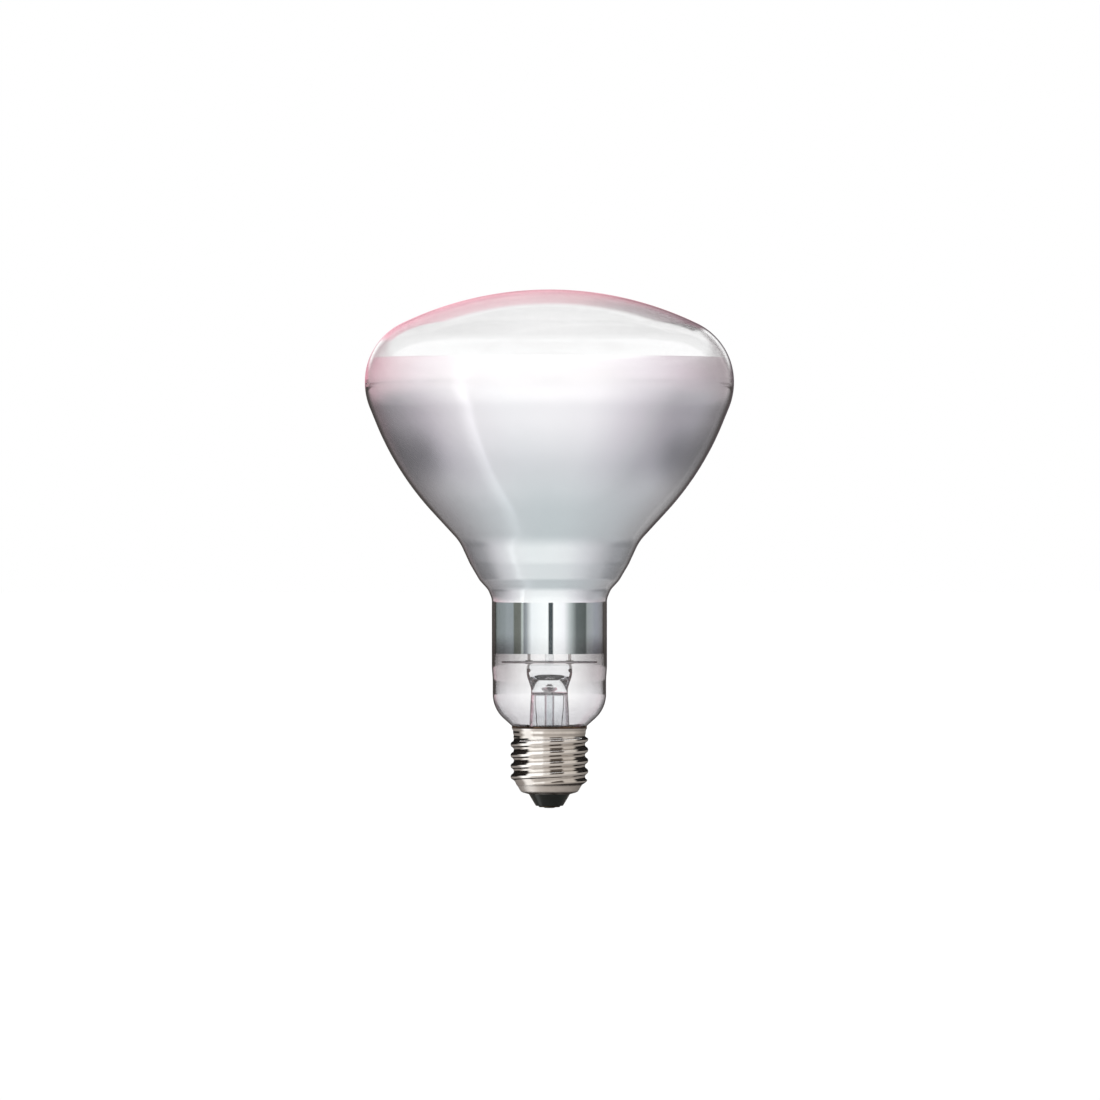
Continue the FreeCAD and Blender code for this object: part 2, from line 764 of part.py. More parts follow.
def build_parts():
    """Every separate piece of the lamp, by name."""
    parts = {}
    parts["screw_shell"] = build_screw_shell()
    parts["cap_insulator"] = build_cap_insulator()
    parts["contact_plate"] = build_contact_plate()
    parts["outer_lead_centre"] = build_outer_lead_centre()
    parts["outer_lead_side"] = build_outer_lead_side()
    parts["centre_solder"] = build_centre_solder(parts["outer_lead_centre"])
    parts["glass_bulb"] = glass_layer(0.0, glass_wall)
    parts["mirror_coating"] = build_mirror_coating()
    parts["basing_cement"] = build_basing_cement(parts["outer_lead_side"])
    around_solder = [parts[n] for n in ("screw_shell", "outer_lead_side", "glass_bulb", "basing_cement")]
    parts["side_solder"] = build_side_solder(around_solder)
    for side, hand in ((-1, "left"), (1, "right")):
        parts[f"seal_wire_{hand}"] = build_seal_wire(side)
        parts[f"inner_lead_{hand}"] = build_inner_lead(side)
        parts[f"deflector_eyelet_{hand}"] = build_deflector_eyelet(side)
    inner_leads = [parts["inner_lead_left"], parts["inner_lead_right"]]
    seal_wires = [parts["seal_wire_left"], parts["seal_wire_right"]]
    parts["stem_flare"] = build_stem_flare(seal_wires + inner_leads)
    parts["exhaust_tube"] = build_exhaust_tube()
    parts["heat_deflector"] = build_heat_deflector()
    hook_spread = (FULL_TURN - filament_gap_angle) / (hook_count + 1)
    hooks = []
    for k in range(hook_count):
        angle = -90 + filament_gap_angle / 2 + hook_spread * (k + 1)
        hooks.append(build_support_hook(angle))
        parts[f"support_hook_{k + 1}"] = hooks[k]
    parts["glass_arbor"] = build_glass_arbor(hooks)
    parts["filament"] = build_filament(inner_leads)
    return parts


def main():
    os.makedirs("parts", exist_ok=True)
    for name, shape in build_parts().items():
        shape.exportStep(f"parts/{name}.step")


main()
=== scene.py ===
import math

import bmesh
import bpy
from mathutils import Matrix, Vector, noise


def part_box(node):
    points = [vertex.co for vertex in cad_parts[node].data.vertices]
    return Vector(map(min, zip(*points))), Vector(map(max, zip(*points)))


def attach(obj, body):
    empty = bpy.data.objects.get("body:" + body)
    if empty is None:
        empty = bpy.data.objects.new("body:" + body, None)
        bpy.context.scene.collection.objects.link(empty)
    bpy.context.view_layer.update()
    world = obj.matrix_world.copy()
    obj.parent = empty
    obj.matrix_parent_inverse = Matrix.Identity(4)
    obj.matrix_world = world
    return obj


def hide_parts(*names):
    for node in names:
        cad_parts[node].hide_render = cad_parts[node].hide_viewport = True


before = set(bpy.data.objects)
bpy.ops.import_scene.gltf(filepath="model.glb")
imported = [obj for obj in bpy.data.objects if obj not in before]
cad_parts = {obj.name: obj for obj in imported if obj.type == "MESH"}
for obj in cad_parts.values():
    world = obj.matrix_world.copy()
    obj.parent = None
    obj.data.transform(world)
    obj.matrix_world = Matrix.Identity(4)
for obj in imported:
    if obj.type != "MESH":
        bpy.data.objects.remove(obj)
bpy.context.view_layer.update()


# Flare tube and press
# A lead-glass tube with a foot flared out to the bulb's neck. Its soft top is pinched flat round
# the lead-in wires, and a breath of air up the exhaust tube has blown a small port out at its front.

MM = 0.001


def placed(name, mesh, material, sharp=35.0):
    """The mesh as an object at the origin, faces outward, smooth but for its real edges."""
    shape = bmesh.new()
    shape.from_mesh(mesh)
    if shape.calc_volume(signed=True) < 0:
        bmesh.ops.reverse_faces(shape, faces=shape.faces)
        shape.to_mesh(mesh)
    shape.free()
    mesh.shade_smooth()
    mesh.set_sharp_from_angle(angle=math.radians(sharp))
    mesh.materials.clear()
    mesh.materials.append(material)
    piece = bpy.data.objects.new(name, mesh)
    bpy.context.collection.objects.link(piece)
    return piece


def skin(name, rings, material, loop=False, sharp=35.0):
    """A surface through rings of points in millimetres, where a ring of one point is a pole."""
    points, starts, faces = [], [], []
    for ring in rings:
        starts.append(len(points))
        points += [Vector(p) * MM for p in ring]
    for low in range(len(rings) if loop else len(rings) - 1):
        high = (low + 1) % len(rings)
        below, above = len(rings[low]), len(rings[high])
        for j in range(max(below, above)):
            k = (j + 1) % max(below, above)
            face = [starts[low] + j, starts[low] + k] if below > 1 else [starts[low]]
            face += [starts[high] + k, starts[high] + j] if above > 1 else [starts[high]]
            if len(face) > 2:
                faces.append(face)
    mesh = bpy.data.meshes.new(name)
    mesh.from_pydata(points, [], faces)
    return placed(name, mesh, material, sharp)


def turned(profile, sides=128):
    """Rings about the lamp's axis through (radius, height) points."""
    turns = [math.tau * k / sides for k in range(sides)]
    return [
        [(r * math.cos(a), r * math.sin(a), z) for a in turns] if r > 0 else [(0, 0, z)] for r, z in profile
    ]


def rounded(corners, chord=0.6):
    """Points along straight runs and the arcs that join them, from (radius, height, bend) corners.

    Points on an arc are at most a chord and seven degrees apart. A long straight run gets a point
    near each end, so that smooth shading leaves it straight.
    """
    widest_turn, lead = 0.12, 0.25
    points = [corners[0][:2]]
    for before, here, after in zip(corners, corners[1:], corners[2:]):
        corner, bend = Vector(here[:2]), here[2]
        back = (Vector(before[:2]) - corner).normalized()
        onward = (Vector(after[:2]) - corner).normalized()
        half_turn = (math.pi - back.angle(onward)) / 2
        setback = bend * math.tan(half_turn)
        if setback < 1e-6:
            points.append(tuple(corner))
            continue
        centre = corner + (back + onward).normalized() * (bend / math.cos(half_turn))
        spoke = corner + back * setback - centre
        turns_left = back.x * onward.y - back.y * onward.x < 0
        count = max(3, math.ceil(2 * half_turn * bend / chord), math.ceil(2 * half_turn / widest_turn))
        for k in range(count + 1):
            a = 2 * half_turn * k / count * (1 if turns_left else -1)
            outward = spoke.x * math.cos(a) - spoke.y * math.sin(a)
            upward = spoke.x * math.sin(a) + spoke.y * math.cos(a)
            points.append((centre.x + outward, centre.y + upward))
    points.append(corners[-1][:2])
    held = [points[0]]
    for a, b in zip(points, points[1:]):
        run = math.dist(a, b)
        if run > 6 * lead:
            step = Vector(b) - Vector(a)
            held += [tuple(Vector(a) + step * (lead / run)), tuple(Vector(b) - step * (lead / run))]
        held.append(b)
    return held


def put(tree, kind, inputs=None, **settings):
    """A new node with its settings, and each input linked or set."""
    made = tree.nodes.new(kind)
    for name, value in settings.items():
        setattr(made, name, value)
    for name, value in (inputs or {}).items():
        if isinstance(value, bpy.types.NodeSocket):
            tree.links.new(value, made.inputs[name])
        else:
            made.inputs[name].default_value = value
    return made


def level(red, green, blue):
    """A colour from its three levels on screen, 0 to 255."""
    shares = [c / 255 for c in (red, green, blue)]
    return tuple(s / 12.92 if s <= 0.04045 else ((s + 0.055) / 1.055) ** 2.4 for s in shares) + (1.0,)


def finish_material(name, **sockets):
    """A material with one Principled shader, whose plain values sit on its own sockets."""
    material = bpy.data.materials.new(name)
    material.use_nodes = True
    tree = material.node_tree
    tree.nodes.clear()
    shader = put(tree, "ShaderNodeBsdfPrincipled", {k.replace("_", " "): v for k, v in sockets.items()})
    put(tree, "ShaderNodeOutputMaterial", {"Surface": shader.outputs[0]})
    return material, tree, shader


def grain(tree, scale, detail=2.0, stretch=(1, 1, 1)):
    """Noise fixed to the piece: scale counts its lumps to a metre."""
    coords = put(tree, "ShaderNodeTexCoord").outputs["Object"]
    coords = put(tree, "ShaderNodeMapping", {"Vector": coords, "Scale": stretch}).outputs[0]
    return put(tree, "ShaderNodeTexNoise", {"Vector": coords, "Scale": scale, "Detail": detail}).outputs[0]


def bumped(tree, shader, height, depth):
    """Roughens the shader's normal by a height map whose full range is depth, in millimetres."""
    bump = put(tree, "ShaderNodeBump", {"Height": height, "Distance": depth * MM, "Strength": 1.0})
    tree.links.new(bump.outputs[0], shader.inputs["Normal"])


stem_glass, tree, shader = finish_material(
    "lead_glass", Transmission_Weight=1.0, Roughness=0.0, IOR=1.56, Base_Color=level(247, 249, 250)
)
bumped(tree, shader, grain(tree, 170, 1.0), 0.12)

stem_sides, stem_wall = 112, 0.9
neck_end_radius, neck_end_z = 11.2, 17.0
flare_corner_radius, flare_bend = 7.3, 3.0
tube_top_radius, tube_top_z = 6.2, 39.5
bore_end_z, bore_end_bend = tube_top_z + 0.5 - stem_wall, 1.2
press_shaped_z, press_top_z, press_bend = 46.0, 48.5, 0.7
press_half_width, press_half_depth, press_squareness = 7.7, 2.6, 3.5
port_z, port_half_width, port_half_height, port_depth = 41.0, 1.4, 0.6, 3.6


def press_ring(z):
    """The stem's outline at a height over the tube: round below, nearly rectangular at the top."""
    share = min(max((z - tube_top_z) / (press_shaped_z - tube_top_z), 0.0), 1.0)
    share = share * share * (3 - 2 * share)
    edge = max(z - press_top_z + press_bend, 0.0)
    shrink = press_bend - math.sqrt(max(press_bend * press_bend - edge * edge, 0.0))
    half_width = tube_top_radius + (press_half_width - tube_top_radius) * share - shrink
    half_depth = tube_top_radius + (press_half_depth - tube_top_radius) * share - shrink
    power = 2 / (2 + (press_squareness - 2) * share)
    ring = []
    for k in range(stem_sides):
        a = math.tau * k / stem_sides
        x = half_width * math.copysign(abs(math.cos(a)) ** power, math.cos(a))
        y = half_depth * math.copysign(abs(math.sin(a)) ** power, math.sin(a))
        if y < 0:
            off_port = (x / port_half_width) ** 2 + ((z - port_z) / port_half_height) ** 2
            y += port_depth * math.exp(-off_port)
        ring.append((x, y, z))
    return ring


foot = rounded([
    (neck_end_radius, neck_end_z, 0),
    (flare_corner_radius, neck_end_z, flare_bend),
    (tube_top_radius, tube_top_z, 0),
])
bore = rounded([
    (0, bore_end_z, 0),
    (tube_top_radius - stem_wall, bore_end_z, bore_end_bend),
    (flare_corner_radius - stem_wall, neck_end_z - stem_wall, flare_bend + stem_wall),
    (neck_end_radius, neck_end_z - stem_wall, 0),
])
side_rows, top_rows = 34, 5
side_top_z = press_top_z - press_bend
heights = [tube_top_z + (side_top_z - tube_top_z) * k / side_rows for k in range(1, side_rows + 1)]
quarter = [math.pi / 2 * k / top_rows for k in range(1, top_rows + 1)]
heights += [side_top_z + press_bend * math.sin(a) for a in quarter]
press = [press_ring(z) for z in heights]
top = [[(x * s, y * s, z) for x, y, z in press_ring(press_top_z)] for s in (0.8, 0.5, 0.2)]
top.append([(0, 0, press_top_z)])
rings = turned(foot, stem_sides) + press + top + turned(bore, stem_sides)
stem_flare = skin("stem_flare_and_press", rings, stem_glass, loop=True)
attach(stem_flare, "root")
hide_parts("stem_flare")


# Exhaust tube
# A thin glass tube fused under the press. The bulb is pumped and filled through it, and then it
# is melted off to a closed drop inside the cap.

exhaust_radius, exhaust_bore = 1.65, 1.0
exhaust_tip_z, drop_top_z, exhaust_top_z = 9.6, 11.8, 39.05
outside = rounded([
    (0, exhaust_tip_z, 0),
    (0.5, exhaust_tip_z, 0.4),
    (exhaust_radius, drop_top_z, 2.0),
    (exhaust_radius, exhaust_top_z, 0),
])
inside = rounded([(exhaust_bore, exhaust_top_z, 0), (exhaust_bore, drop_top_z + 1.0, 0.8), (0, drop_top_z, 0)])
exhaust_tube = skin("exhaust_tube", turned(outside + inside, 48), stem_glass)
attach(exhaust_tube, "root")
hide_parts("exhaust_tube")


# Lead-in wires
# Each lead is three wires butt-welded end to end: a stiff nickel-plated inner lead, a short
# copper-clad wire that the press seals to, and a limp copper lead down to the cap.


def geometry_tree(name, measures, counts=()):
    """An empty Geometry Nodes tree with named inputs, and its input and output nodes."""
    tree = bpy.data.node_groups.new(name, "GeometryNodeTree")
    tree.interface.new_socket("Geometry", in_out="INPUT", socket_type="NodeSocketGeometry")
    tree.interface.new_socket("Geometry", in_out="OUTPUT", socket_type="NodeSocketGeometry")
    for kind, labels in (("Float", measures), ("Int", counts), ("Material", ["Material"])):
        for label in labels:
            tree.interface.new_socket(label, in_out="INPUT", socket_type="NodeSocket" + kind)
    return tree, put(tree, "NodeGroupInput"), put(tree, "NodeGroupOutput")


def close_tree(tree, given, result, geometry):
    """Ends a tree: instances made real, and the material set."""
    real = put(tree, "GeometryNodeRealizeInstances", {"Geometry": geometry}).outputs[0]
    painted = put(tree, "GeometryNodeSetMaterial", {"Geometry": real, "Material": given.outputs["Material"]})
    tree.links.new(painted.outputs[0], result.inputs[0])


def grown(name, mesh, tree, material, values, sharp=35.0):
    """The plain mesh that a tree makes from a starting mesh, as a piece."""
    seed = bpy.data.objects.new(name + "_seed", mesh)
    bpy.context.collection.objects.link(seed)
    modifier = seed.modifiers.new("grow", "NODES")
    modifier.node_group = tree
    for item in tree.interface.items_tree:
        if item.in_out == "INPUT" and item.name in values:
            modifier[item.identifier] = values[item.name]
        elif item.in_out == "INPUT" and item.name == "Material":
            modifier[item.identifier] = material
    shown = seed.evaluated_get(bpy.context.evaluated_depsgraph_get())
    made = bpy.data.meshes.new_from_object(shown)
    made.name = name
    seed.modifiers.remove(modifier)
    bpy.data.objects.remove(seed)
    return placed(name, made, material, sharp)


def maths(tree, operation, *values):
    """A Math node over values or sockets."""
    return put(tree, "ShaderNodeMath", dict(enumerate(values)), operation=operation).outputs[0]


def tube_along(tree, line, diameter, sides):
    """Round wire along a curve, closed at its ends."""
    half = maths(tree, "MULTIPLY", diameter, 0.5)
    circle = put(tree, "GeometryNodeCurvePrimitiveCircle", {"Resolution": sides, "Radius": half}).outputs[0]
    parts = {"Curve": line, "Profile Curve": circle, "Fill Caps": True}
    return put(tree, "GeometryNodeCurveToMesh", parts).outputs[0]


wire_tree, given, result = geometry_tree("round_wire", ["Diameter"], ["Sides"])
line = put(wire_tree, "GeometryNodeMeshToCurve", {"Mesh": given.outputs[0]}).outputs[0]
bend = put(wire_tree, "GeometryNodeInputNamedAttribute", {"Name": "bend"}, data_type="FLOAT").outputs[0]
corners = {"Curve": line, "Count": 8, "Radius": bend}
line = put(wire_tree, "GeometryNodeFilletCurve", corners, mode="POLY").outputs[0]
tube = tube_along(wire_tree, line, given.outputs["Diameter"], given.outputs["Sides"])
close_tree(wire_tree, given, result, tube)


def bent_line(name, corners):
    """A line of (x, y, z, bend) corners in millimetres, as a mesh of edges."""
    mesh = bpy.data.meshes.new(name)
    edges = [(k, k + 1) for k in range(len(corners) - 1)]
    mesh.from_pydata([Vector(c[:3]) * MM for c in corners], edges, [])
    mesh.attributes.new("bend", "FLOAT", "POINT").data.foreach_set("value", [c[3] * MM for c in corners])
    return mesh


def wire(name, node, corners, diameter, material, sides=16):
    """One round wire that stands for a node."""
    values = {"Diameter": diameter * MM, "Sides": sides}
    piece = grown(name, bent_line(name, corners), wire_tree, material, values)
    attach(piece, "root")
    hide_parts(node)
    return piece


def ranged(tree, value, low, high, to_low=0.0, to_high=1.0, how="LINEAR"):
    """The value, moved from one range to another and held at its ends."""
    ends = {"Value": value, "From Min": low, "From Max": high, "To Min": to_low, "To Max": to_high}
    return put(tree, "ShaderNodeMapRange", ends, interpolation_type=how).outputs[0]


def blended(tree, share, first, second):
    """A colour between two, by share."""
    return put(tree, "ShaderNodeMix", {0: share, 6: first, 7: second}, data_type="RGBA").outputs[2]


def metal(name, colour, roughness, dark, lines=(1, 1, 1), scale=900.0, depth=0.01):
    """A bare metal whose shade, shine and surface vary a little; lines stretches its marks."""
    material, tree, shader = finish_material(name, Metallic=1.0)
    marks = grain(tree, scale, 3.0, lines)
    patches = grain(tree, scale / 6, 2.0)
    shade = blended(tree, ranged(tree, patches, 0.35, 0.7), colour, dark)
    tree.links.new(shade, shader.inputs["Base Color"])
    shine = ranged(tree, marks, 0.3, 0.7, roughness * 0.75, roughness * 1.3)
    tree.links.new(shine, shader.inputs["Roughness"])
    bumped(tree, shader, marks, depth)
    return material


nickel_wire = metal("nickel_plated_wire", level(226, 223, 219), 0.28, level(196, 193, 189), lines=(1, 1, 0.1))
clad_wire = metal("copper_clad_wire", level(120, 72, 58), 0.4, level(72, 40, 34), lines=(1, 1, 0.2))
copper_wire = metal("bare_copper_wire", level(96, 88, 86), 0.35, level(66, 60, 60), lines=(1, 1, 0.1))
seal_foot_x, seal_foot_z, weld_x, weld_z, weld_radius = 4.9, 38.4, 6.9, 46.6, 0.8
seal_diameter, inner_diameter, outer_diameter = 0.7, 1.0, 0.3
ring_radius, filament_z, half_gap_degrees = 14.0, 92.0, 30.0
for side, hand in ((-1, "left"), (1, "right")):
    seal = [
        (side * seal_foot_x, 0, seal_foot_z, 0),
        (side * seal_foot_x, 0, seal_foot_z + 1.0, 1.0),
        (side * weld_x, 0, weld_z - 1.0, 1.0),
        (side * weld_x, 0, weld_z, 0),
    ]
    sealed = wire("seal_wire_" + hand, "seal_wire_" + hand, seal, seal_diameter, clad_wire)
    shape = bmesh.new()
    shape.from_mesh(sealed.data)
    knot = Matrix.Translation(Vector((side * weld_x, 0, weld_z)) * MM)
    bmesh.ops.create_uvsphere(shape, u_segments=24, v_segments=14, radius=weld_radius * MM, matrix=knot)
    for face in shape.faces:
        face.smooth = True
    shape.to_mesh(sealed.data)
    shape.free()
    turn = math.radians(-90 + side * half_gap_degrees)
    end_x, end_y = ring_radius * math.cos(turn), ring_radius * math.sin(turn)
    inner = [
        (side * weld_x, 0, weld_z, 0),
        (side * weld_x, 0, press_top_z + 11.0, 5.0),
        (end_x, end_y, filament_z - 9.0, 5.0),
        (end_x, end_y, filament_z + 1.2, 0),
    ]
    wire("inner_lead_" + hand, "inner_lead_" + hand, inner, inner_diameter, nickel_wire)
centre_lead = [
    (-seal_foot_x, 0, seal_foot_z, 0),
    (-seal_foot_x, 0, seal_foot_z - 3.0, 1.0),
    (-2.6, 0, 11.0, 1.0),
    (0, 0, 7.6, 1.0),
    (0, 0, 0.3, 0),
]
wire("outer_lead_to_centre", "outer_lead_centre", centre_lead, outer_diameter, copper_wire)


# Side lead
# The right-hand copper lead goes under the flare, up beside the neck through the cement, and is
# bent out over the shell's lip, where a drop of solder holds it.

lip_radius, shell_height = 12.75, round(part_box("screw_shell")[1][2] / MM, 3)
neck_at_lip, heel = 11.8, math.tan(math.radians(42.0))
under_flare_z, lead_over_lip = neck_end_z - 2.7, 0.19
gap_y, slope_start = neck_end_radius + 0.275, neck_at_lip + 0.345
side_lead = [
    (seal_foot_x, 0, seal_foot_z, 0),
    (seal_foot_x, 0, seal_foot_z - 3.0, 1.0),
    (2.9, 1.45, under_flare_z, 1.0),
    (0, gap_y, under_flare_z, 1.0),
    (0, gap_y, shell_height + (gap_y - slope_start) * heel, 1.2),
    (0, slope_start + lead_over_lip / heel, shell_height + lead_over_lip, 0.3),
    (0, lip_radius + 0.5, shell_height + lead_over_lip, 0),
]
wire("outer_lead_to_side", "outer_lead_side", side_lead, outer_diameter, copper_wire)


# Glass rod and button
# A solid glass rod stands on the press, and its top is melted down to a round button round the
# inner ends of the filament's hooks.

rod_radius, button_radius, button_top_z, button_height = 1.5, 3.4, 88.0, 4.0
rod_profile = rounded([
    (0, press_top_z, 0),
    (rod_radius, press_top_z, 0),
    (rod_radius, button_top_z - button_height, 0.8),
    (button_radius, button_top_z - button_height, 1.1),
    (button_radius, button_top_z, 1.6),
    (0, button_top_z, 0),
], 0.3)
arbor = skin("glass_rod_and_button", turned(rod_profile, 64), stem_glass)
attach(arbor, "root")
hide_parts("glass_arbor")


# Filament hooks
# Five springy molybdenum wires are stuck into the soft button, evenly between the two leads, and
# each is curled into an open loop round the coil.

coil_radius, hook_wire, hook_depth, hook_clearance = 0.8, 0.5, 1.6, 0.05
hook_count, spread_degrees = 5, 50.0
hook_tree, given, result = geometry_tree("hooks_round_button", ["Diameter", "First", "Spread"], ["Count"])
line = put(hook_tree, "GeometryNodeMeshToCurve", {"Mesh": given.outputs[0]}).outputs[0]
tube = tube_along(hook_tree, line, given.outputs["Diameter"], 12)
spots = put(hook_tree, "GeometryNodeMeshLine", {"Count": given.outputs["Count"], "Offset": (0, 0, 0)})
number = put(hook_tree, "GeometryNodeInputIndex").outputs[0]
turn = maths(hook_tree, "MULTIPLY", number, given.outputs["Spread"])
turn = maths(hook_tree, "ADD", turn, given.outputs["First"])
turn = put(hook_tree, "ShaderNodeCombineXYZ", {"Z": turn}).outputs[0]
copies = {"Points": spots.outputs[0], "Instance": tube, "Rotation": turn}
close_tree(hook_tree, given, result, put(hook_tree, "GeometryNodeInstanceOnPoints", copies).outputs[0])

loop_radius = coil_radius + hook_clearance + hook_wire / 2
start_r, start_z = button_radius - hook_depth, button_top_z - button_height / 2
reach = Vector((ring_radius - start_r, filament_z - start_z))
slope = math.atan2(reach.y, reach.x) - math.asin(loop_radius / reach.length)
hook_line = [(start_r, 0, start_z, 0)]
curl, curl_steps = math.radians(270), 27
for k in range(curl_steps + 1):
    way = slope - math.pi / 2 + curl * k / curl_steps
    r, z = ring_radius + loop_radius * math.cos(way), filament_z + loop_radius * math.sin(way)
    hook_line.append((r, 0, z, 0))
hook_metal = metal("molybdenum_wire", level(120, 120, 124), 0.35, level(84, 84, 90), lines=(0.2, 0.2, 1))
hooks = grown("filament_hooks", bent_line("hook", hook_line), hook_tree, hook_metal, {
    "Diameter": hook_wire * MM,
    "Count": hook_count,
    "First": math.radians(-90 + half_gap_degrees + spread_degrees),
    "Spread": math.radians(spread_degrees),
})
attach(hooks, "root")
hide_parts(*["support_hook_%d" % k for k in range(1, 6)])


# Filament
# Tungsten wire wound into one long close coil. It lies round most of a ring, in the hooks' loops,
# and its two ends are gripped by the inner leads at the front.

coil_tree, given, result = geometry_tree(
    "coil_on_ring", ["Ring Radius", "Coil Radius", "Wire Diameter", "Start", "Sweep", "Height"], ["Turns"]
)
points_in_a_turn = 14.0
arc = put(coil_tree, "GeometryNodeCurveArc", {
    "Resolution": maths(coil_tree, "MULTIPLY", given.outputs["Turns"], points_in_a_turn),
    "Radius": given.outputs["Ring Radius"],
    "Start Angle": given.outputs["Start"],
    "Sweep Angle": given.outputs["Sweep"],
})
along = put(coil_tree, "GeometryNodeSplineParameter").outputs["Factor"]
wind = maths(coil_tree, "MULTIPLY", along, maths(coil_tree, "MULTIPLY", given.outputs["Turns"], math.tau))
spot = put(coil_tree, "GeometryNodeInputPosition").outputs[0]
outward = put(coil_tree, "ShaderNodeVectorMath", {0: spot}, operation="NORMALIZE").outputs[0]
across = maths(coil_tree, "MULTIPLY", maths(coil_tree, "COSINE", wind), given.outputs["Coil Radius"])
upward = maths(coil_tree, "MULTIPLY", maths(coil_tree, "SINE", wind), given.outputs["Coil Radius"])
upward = maths(coil_tree, "ADD", upward, given.outputs["Height"])
across = put(coil_tree, "ShaderNodeVectorMath", {0: outward, "Scale": across}, operation="SCALE").outputs[0]
upward = put(coil_tree, "ShaderNodeCombineXYZ", {"Z": upward}).outputs[0]
shift = put(coil_tree, "ShaderNodeVectorMath", {0: across, 1: upward}, operation="ADD").outputs[0]
coil = put(coil_tree, "GeometryNodeSetPosition", {"Geometry": arc.outputs[0], "Offset": shift}).outputs[0]
close_tree(coil_tree, given, result, tube_along(coil_tree, coil, given.outputs["Wire Diameter"], 6))

tungsten = metal("drawn_tungsten", level(96, 97, 100), 0.42, level(62, 62, 66))
filament_wire, coil_turns = 0.26, 150
end_trim = 0.45 / ring_radius
filament = grown("filament_coil", bpy.data.meshes.new("filament_start"), coil_tree, tungsten, {
    "Ring Radius": ring_radius * MM,
    "Coil Radius": (coil_radius - filament_wire / 2) * MM,
    "Wire Diameter": filament_wire * MM,
    "Turns": coil_turns,
    "Start": math.radians(-90 + half_gap_degrees) + end_trim,
    "Sweep": math.radians(360 - 2 * half_gap_degrees) - 2 * end_trim,
    "Height": filament_z * MM,
})
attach(filament, "root")
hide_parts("filament")


# Heat deflector
# A disc punched from aluminium sheet, with a hole for the glass rod and one for each lead. It
# keeps the filament's heat off the press and the cap.

disc_radius, disc_z, disc_thickness, disc_edge = 16.2, 49.15, 0.5, 0.1
rod_hole_radius, lead_hole_radius = 1.8, 0.8
sheet_metal = metal(
    "satin_sheet", level(205, 199, 200), 0.5, level(178, 172, 173), lines=(0.08, 1, 1), scale=700
)
drawing = bpy.data.curves.new("deflector_outline", "CURVE")
drawing.dimensions, drawing.fill_mode = "2D", "BOTH"
drawing.extrude, drawing.bevel_depth = (disc_thickness / 2 - disc_edge) * MM, disc_edge * MM
drawing.bevel_resolution = 2
circles = (
    (0, disc_radius - disc_edge, 144),
    (0, rod_hole_radius + disc_edge, 40),
    (-weld_x, lead_hole_radius + disc_edge, 28),
    (weld_x, lead_hole_radius + disc_edge, 28),
)
for x, radius, count in circles:
    loop = drawing.splines.new("POLY")
    loop.points.add(count - 1)
    for k, point in enumerate(loop.points):
        a = math.tau * k / count
        point.co = ((x + radius * math.cos(a)) * MM, radius * math.sin(a) * MM, 0, 1)
    loop.use_cyclic_u = True
pattern = bpy.data.objects.new("deflector_pattern", drawing)
bpy.context.collection.objects.link(pattern)
disc = bpy.data.meshes.new_from_object(pattern.evaluated_get(bpy.context.evaluated_depsgraph_get()))
bpy.data.objects.remove(pattern)
disc.name = "heat_deflector"
shape = bmesh.new()
shape.from_mesh(disc)
bmesh.ops.remove_doubles(shape, verts=shape.verts, dist=1e-7)
bmesh.ops.translate(shape, verts=shape.verts, vec=(0, 0, (disc_z + disc_thickness / 2) * MM))
bmesh.ops.recalc_face_normals(shape, faces=shape.faces)
shape.to_mesh(disc)
shape.free()
deflector = placed("heat_deflector_disc", disc, sheet_metal)
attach(deflector, "root")
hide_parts("heat_deflector")


# Deflector eyelets
# Two nickel-plated eyelets are pressed on the leads and rolled over on both faces of the disc, so
# that it can't slide.

eyelet_metal = metal("plated_eyelet", level(165, 158, 150), 0.3, level(120, 112, 106))
eyelet_bore, rim_radius, rim_height = 0.5, 1.3, 0.35
disc_top_z = disc_z + disc_thickness
section = rounded([
    (eyelet_bore, disc_z - rim_height, 0),
    (rim_radius, disc_z - rim_height, 0.2),
    (rim_radius, disc_z, 0.1),
    (lead_hole_radius, disc_z, 0),
    (lead_hole_radius, disc_top_z, 0),
    (rim_radius, disc_top_z, 0.1),
    (rim_radius, disc_top_z + rim_height, 0.2),
    (eyelet_bore, disc_top_z + rim_height, 0),
], 0.1)
for side, hand in ((-1, "left"), (1, "right")):
    rings = [[(x + side * weld_x, y, z) for x, y, z in ring] for ring in turned(section, 40)]
    eyelet = skin("eyelet_" + hand, rings, eyelet_metal, loop=True)
    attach(eyelet, "root")
    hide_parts("deflector_eyelet_" + hand)


# Bulb
# One thin glass body, blown in a mould: a straight neck with a small step, a bulge, a flared
# reflector and a shallow dome. Only the dome and the lower neck stay clear.

